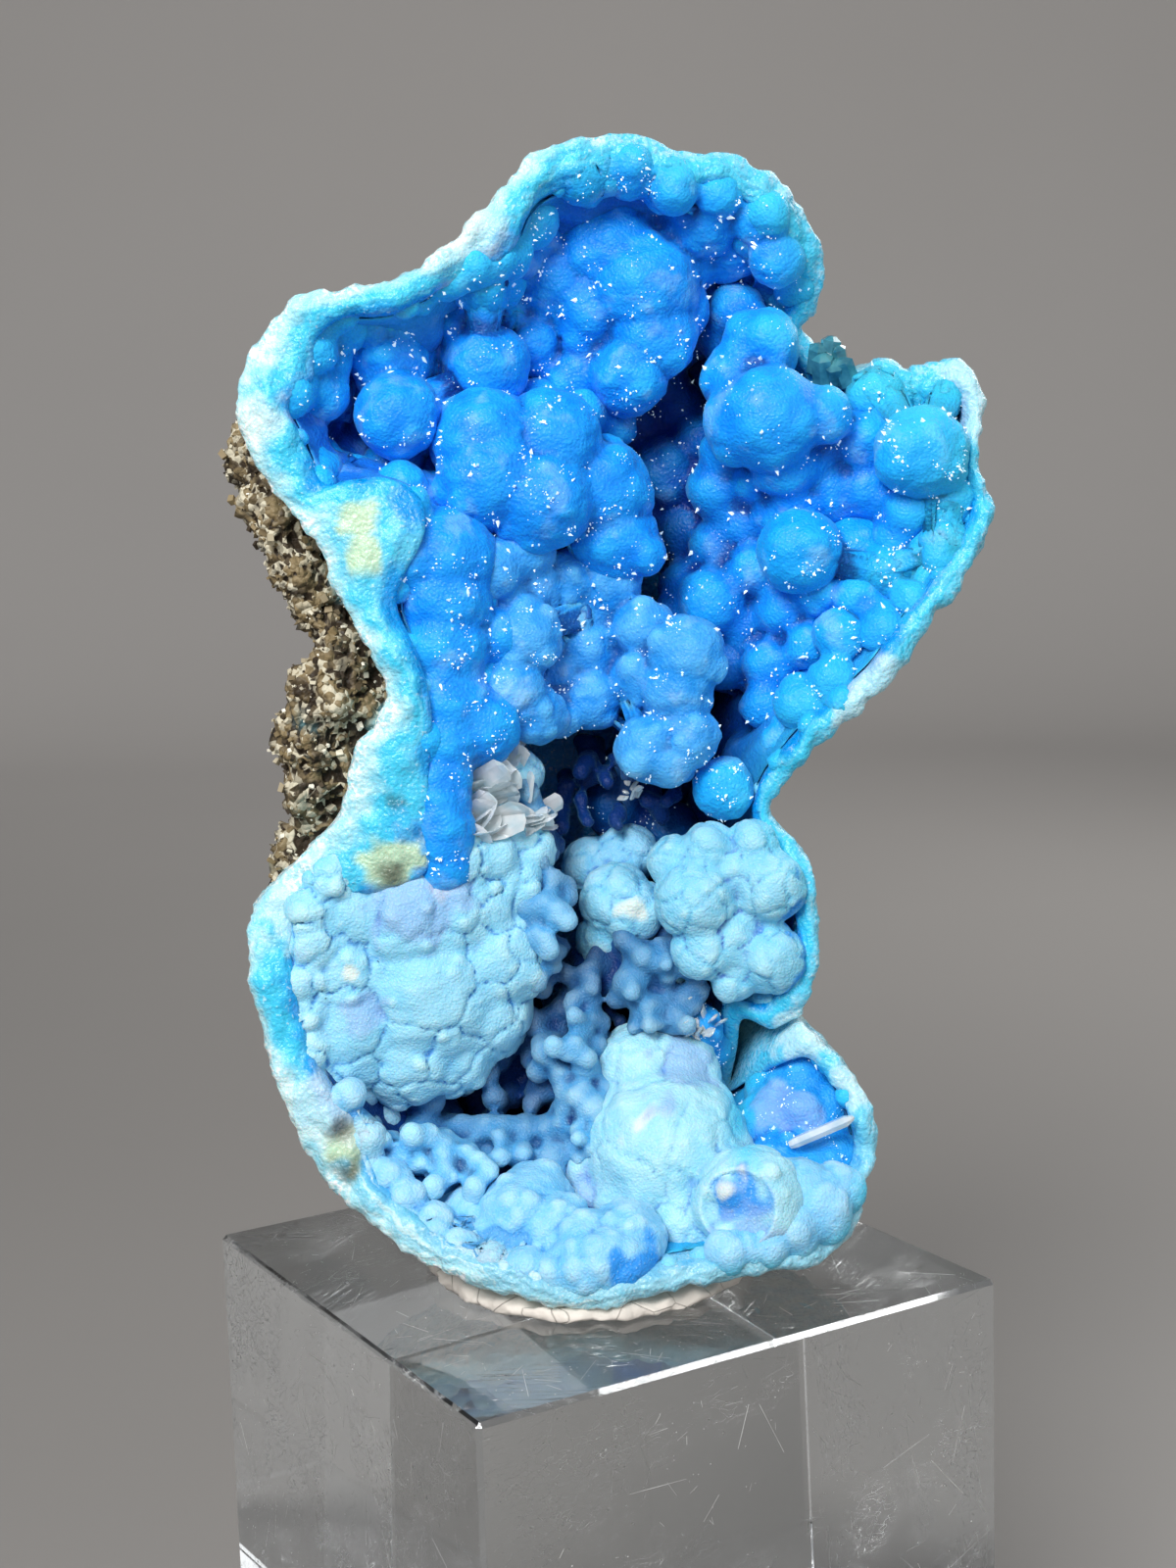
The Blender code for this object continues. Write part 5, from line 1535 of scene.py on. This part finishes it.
class STONE_OT_block_marks(bpy.types.Operator):
    """Adds the hairline scratches and specks on the block's faces"""
    bl_idname = "stone.block_marks"
    bl_label = "Block marks"

    def execute(self, context):
        chance = np.random.default_rng(66)
        low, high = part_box("acrylic_block")
        middle = np.array((low + high) / 2)
        half = (high.z - low.z) / 2
        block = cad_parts["acrylic_block"]
        turned = np.array(block.matrix_world.to_3x3())
        widest = max(block.data.polygons, key=lambda face: face.area * (abs(face.normal.z) < 0.1))
        front = turned @ np.array(widest.normal)
        front /= np.linalg.norm(front)
        up = np.array((0.0, 0.0, 1.0))
        side = np.cross(up, front)
        faces = [(front, side, up), (-front, side, up), (side, front, up), (-side, front, up),
                 (up, front, side)]
        places, frames, sizes = [], [], []
        for normal, across, along in faces:
            count = 900
            a, b = chance.uniform(-0.9, 0.9, (2, count)) * half
            spot = middle + normal * half + a[:, None] * across + b[:, None] * along
            keep = waves(spot, 22 * MM, 67) + chance.normal(size=count) * 0.4 > 0.35
            spot = spot[keep]
            count = len(spot)
            turn = chance.choice((0.3, 1.1, 1.9, 2.7), count) + chance.normal(size=count) * 0.35
            line = np.cos(turn)[:, None] * across + np.sin(turn)[:, None] * along
            frames.append(np.stack((np.cross(normal, line), np.tile(normal, (count, 1)), line), axis=1))
            long = np.where(chance.uniform(0, 1, count) < 0.6, 0.05,
                            0.3 + 2.4 * chance.uniform(0, 1, count) ** 3)
            wide = np.where(long < 0.1, chance.uniform(0.02, 0.06, count), chance.uniform(0.008, 0.02, count))
            sizes.append(np.column_stack((wide, np.full(count, 0.006), long)) * MM)
            places.append(spot)
        box, sides = unit_cube()
        points, sides = copies(box, sides, np.vstack(places), np.vstack(sizes), np.concatenate(frames))
        marks = mesh_object("block_marks", points, sides, smooth_shaded=False)
        face_outwards(marks)
        made, tree, shader = new_material("block_mark")
        skin = frost(tree, 0.8, 3.0)
        tree.links.new(mix_of(tree, paint(168, 166, 164), paint(222, 222, 220), skin["Mottle"]),
                       shader.inputs["Base Color"])
        tree.links.new(range_of(tree, skin["Grain"], 0.0, 0.8, 0.35, 0.7), shader.inputs["Roughness"])
        settle(marks, "acrylic", made)
        return {"FINISHED"}


def area_light(name, place, target, size, power):
    """Adds a square light at a place, turned towards a target."""
    light = bpy.data.lights.new(name, "AREA")
    light.size = size
    light.energy = power
    made = bpy.data.objects.new(name, light)
    made.location = place
    made.rotation_euler = (Vector(target) - Vector(place)).to_track_quat("-Z", "Y").to_euler()
    bpy.context.scene.collection.objects.link(made)


class STONE_OT_stage(bpy.types.Operator):
    """Adds the floor, the lights and the camera at the photograph's viewpoint"""
    bl_idname = "stone.stage"
    bl_label = "Stage"

    def execute(self, context):
        settings = context.scene.stone_stage
        half, rise, bend = 1.6, 1.4, 0.35
        turn = np.linspace(0, np.pi / 2, 14)
        profile = [(-half, 0.0)] + [(0.75 + bend * np.sin(a), bend - bend * np.cos(a)) for a in turn]
        profile += [(0.75 + bend, rise)]
        rows = np.array([[(x, y, z - 0.0002) for x in (-half, half)] for y, z in profile])
        count = len(profile)
        faces = [(2 * i, 2 * i + 1, 2 * i + 3, 2 * i + 2) for i in range(count - 1)]
        floor = mesh_object("floor", rows.reshape(-1, 3), faces)
        made, tree, shader = new_material("floor")
        mottle = node(tree, "ShaderNodeTexNoise", {"Vector": place_of(tree), "Scale": 6.0, "Detail": 3.0})
        far = node(tree, "ShaderNodeSeparateXYZ", {"Vector": place_of(tree)}).outputs["Y"]
        shade = mix_of(tree, tuple(0.4 * v for v in settings.floor), tuple(settings.floor),
                       range_of(tree, far, 0.15, 1.0))
        shade = mix_of(tree, shade, (0.0, 0.0, 0.0), math_of(tree, "MULTIPLY", mottle.outputs["Fac"], 0.06))
        tree.links.new(shade, shader.inputs["Base Color"])
        shader.inputs["Roughness"].default_value = 0.6
        floor.data.materials.append(made)
        middle = (0, 0, 0.105)
        area_light("key", (-0.15, -0.42, 0.42), middle, 0.26, settings.key_power)
        area_light("fill", (0.45, -0.4, 0.22), middle, 0.4, settings.fill_power)
        area_light("back", (0.3, 0.35, 0.38), middle, 0.3, settings.back_power)
        world = bpy.data.worlds.new("studio")
        world.use_nodes = True
        world.node_tree.nodes["Background"].inputs["Color"].default_value = (0.8, 0.82, 0.85, 1)
        world.node_tree.nodes["Background"].inputs["Strength"].default_value = 0.42
        context.scene.world = world
        context.scene.view_settings.view_transform = "Standard"
        camera = bpy.data.cameras.new("camera")
        camera.lens = LENS
        camera.clip_start = 0.01
        camera.clip_end = 20
        eye = bpy.data.objects.new("camera", camera)
        eye.location = EYE
        eye.rotation_mode = "QUATERNION"
        look = Vector((0, np.cos(EYE_DIP), -np.sin(EYE_DIP)))
        turned = look.to_track_quat("-Z", "Y")
        eye.rotation_quaternion = turned @ Quaternion((0, 0, 1), -EYE_ROLL)
        context.scene.collection.objects.link(eye)
        context.scene.camera = eye
        return {"FINISHED"}


class STONE_PT_panel(bpy.types.Panel):
    """All the settings, and a button for each operator"""
    bl_label = "Hemimorphite"
    bl_idname = "STONE_PT_panel"
    bl_space_type = "VIEW_3D"
    bl_region_type = "UI"
    bl_category = "Hemimorphite"

    def draw(self, context):
        for settings in (context.scene.stone, context.scene.stone_stage):
            for name in settings.__annotations__:
                self.layout.prop(settings, name)
        for operator in OPERATORS:
            self.layout.operator(operator.bl_idname)


OPERATORS = (
    STONE_OT_stage, STONE_OT_rind, STONE_OT_lining, STONE_OT_edge_balls, STONE_OT_upper_balls,
    STONE_OT_lower_balls, STONE_OT_fingers,
    STONE_OT_host_rock, STONE_OT_rock_grains, STONE_OT_glints, STONE_OT_blades, STONE_OT_putty,
    STONE_OT_block,
    STONE_OT_block_marks,
)
CLASSES = (StoneSettings, StageSettings) + OPERATORS + (STONE_PT_panel,)


def register():
    """Adds the settings, the operators and the panel."""
    for cls in CLASSES:
        bpy.utils.register_class(cls)
    bpy.types.Scene.stone = PointerProperty(type=StoneSettings)
    bpy.types.Scene.stone_stage = PointerProperty(type=StageSettings)


def unregister():
    """Takes the settings, the operators and the panel away."""
    del bpy.types.Scene.stone_stage
    del bpy.types.Scene.stone
    for cls in reversed(CLASSES):
        bpy.utils.unregister_class(cls)


def main():
    """Builds every piece and the stage."""
    register()
    for operator in OPERATORS:
        group, name = operator.bl_idname.split(".")
        getattr(getattr(bpy.ops, group), name)()


if __name__ == "__main__":
    main()
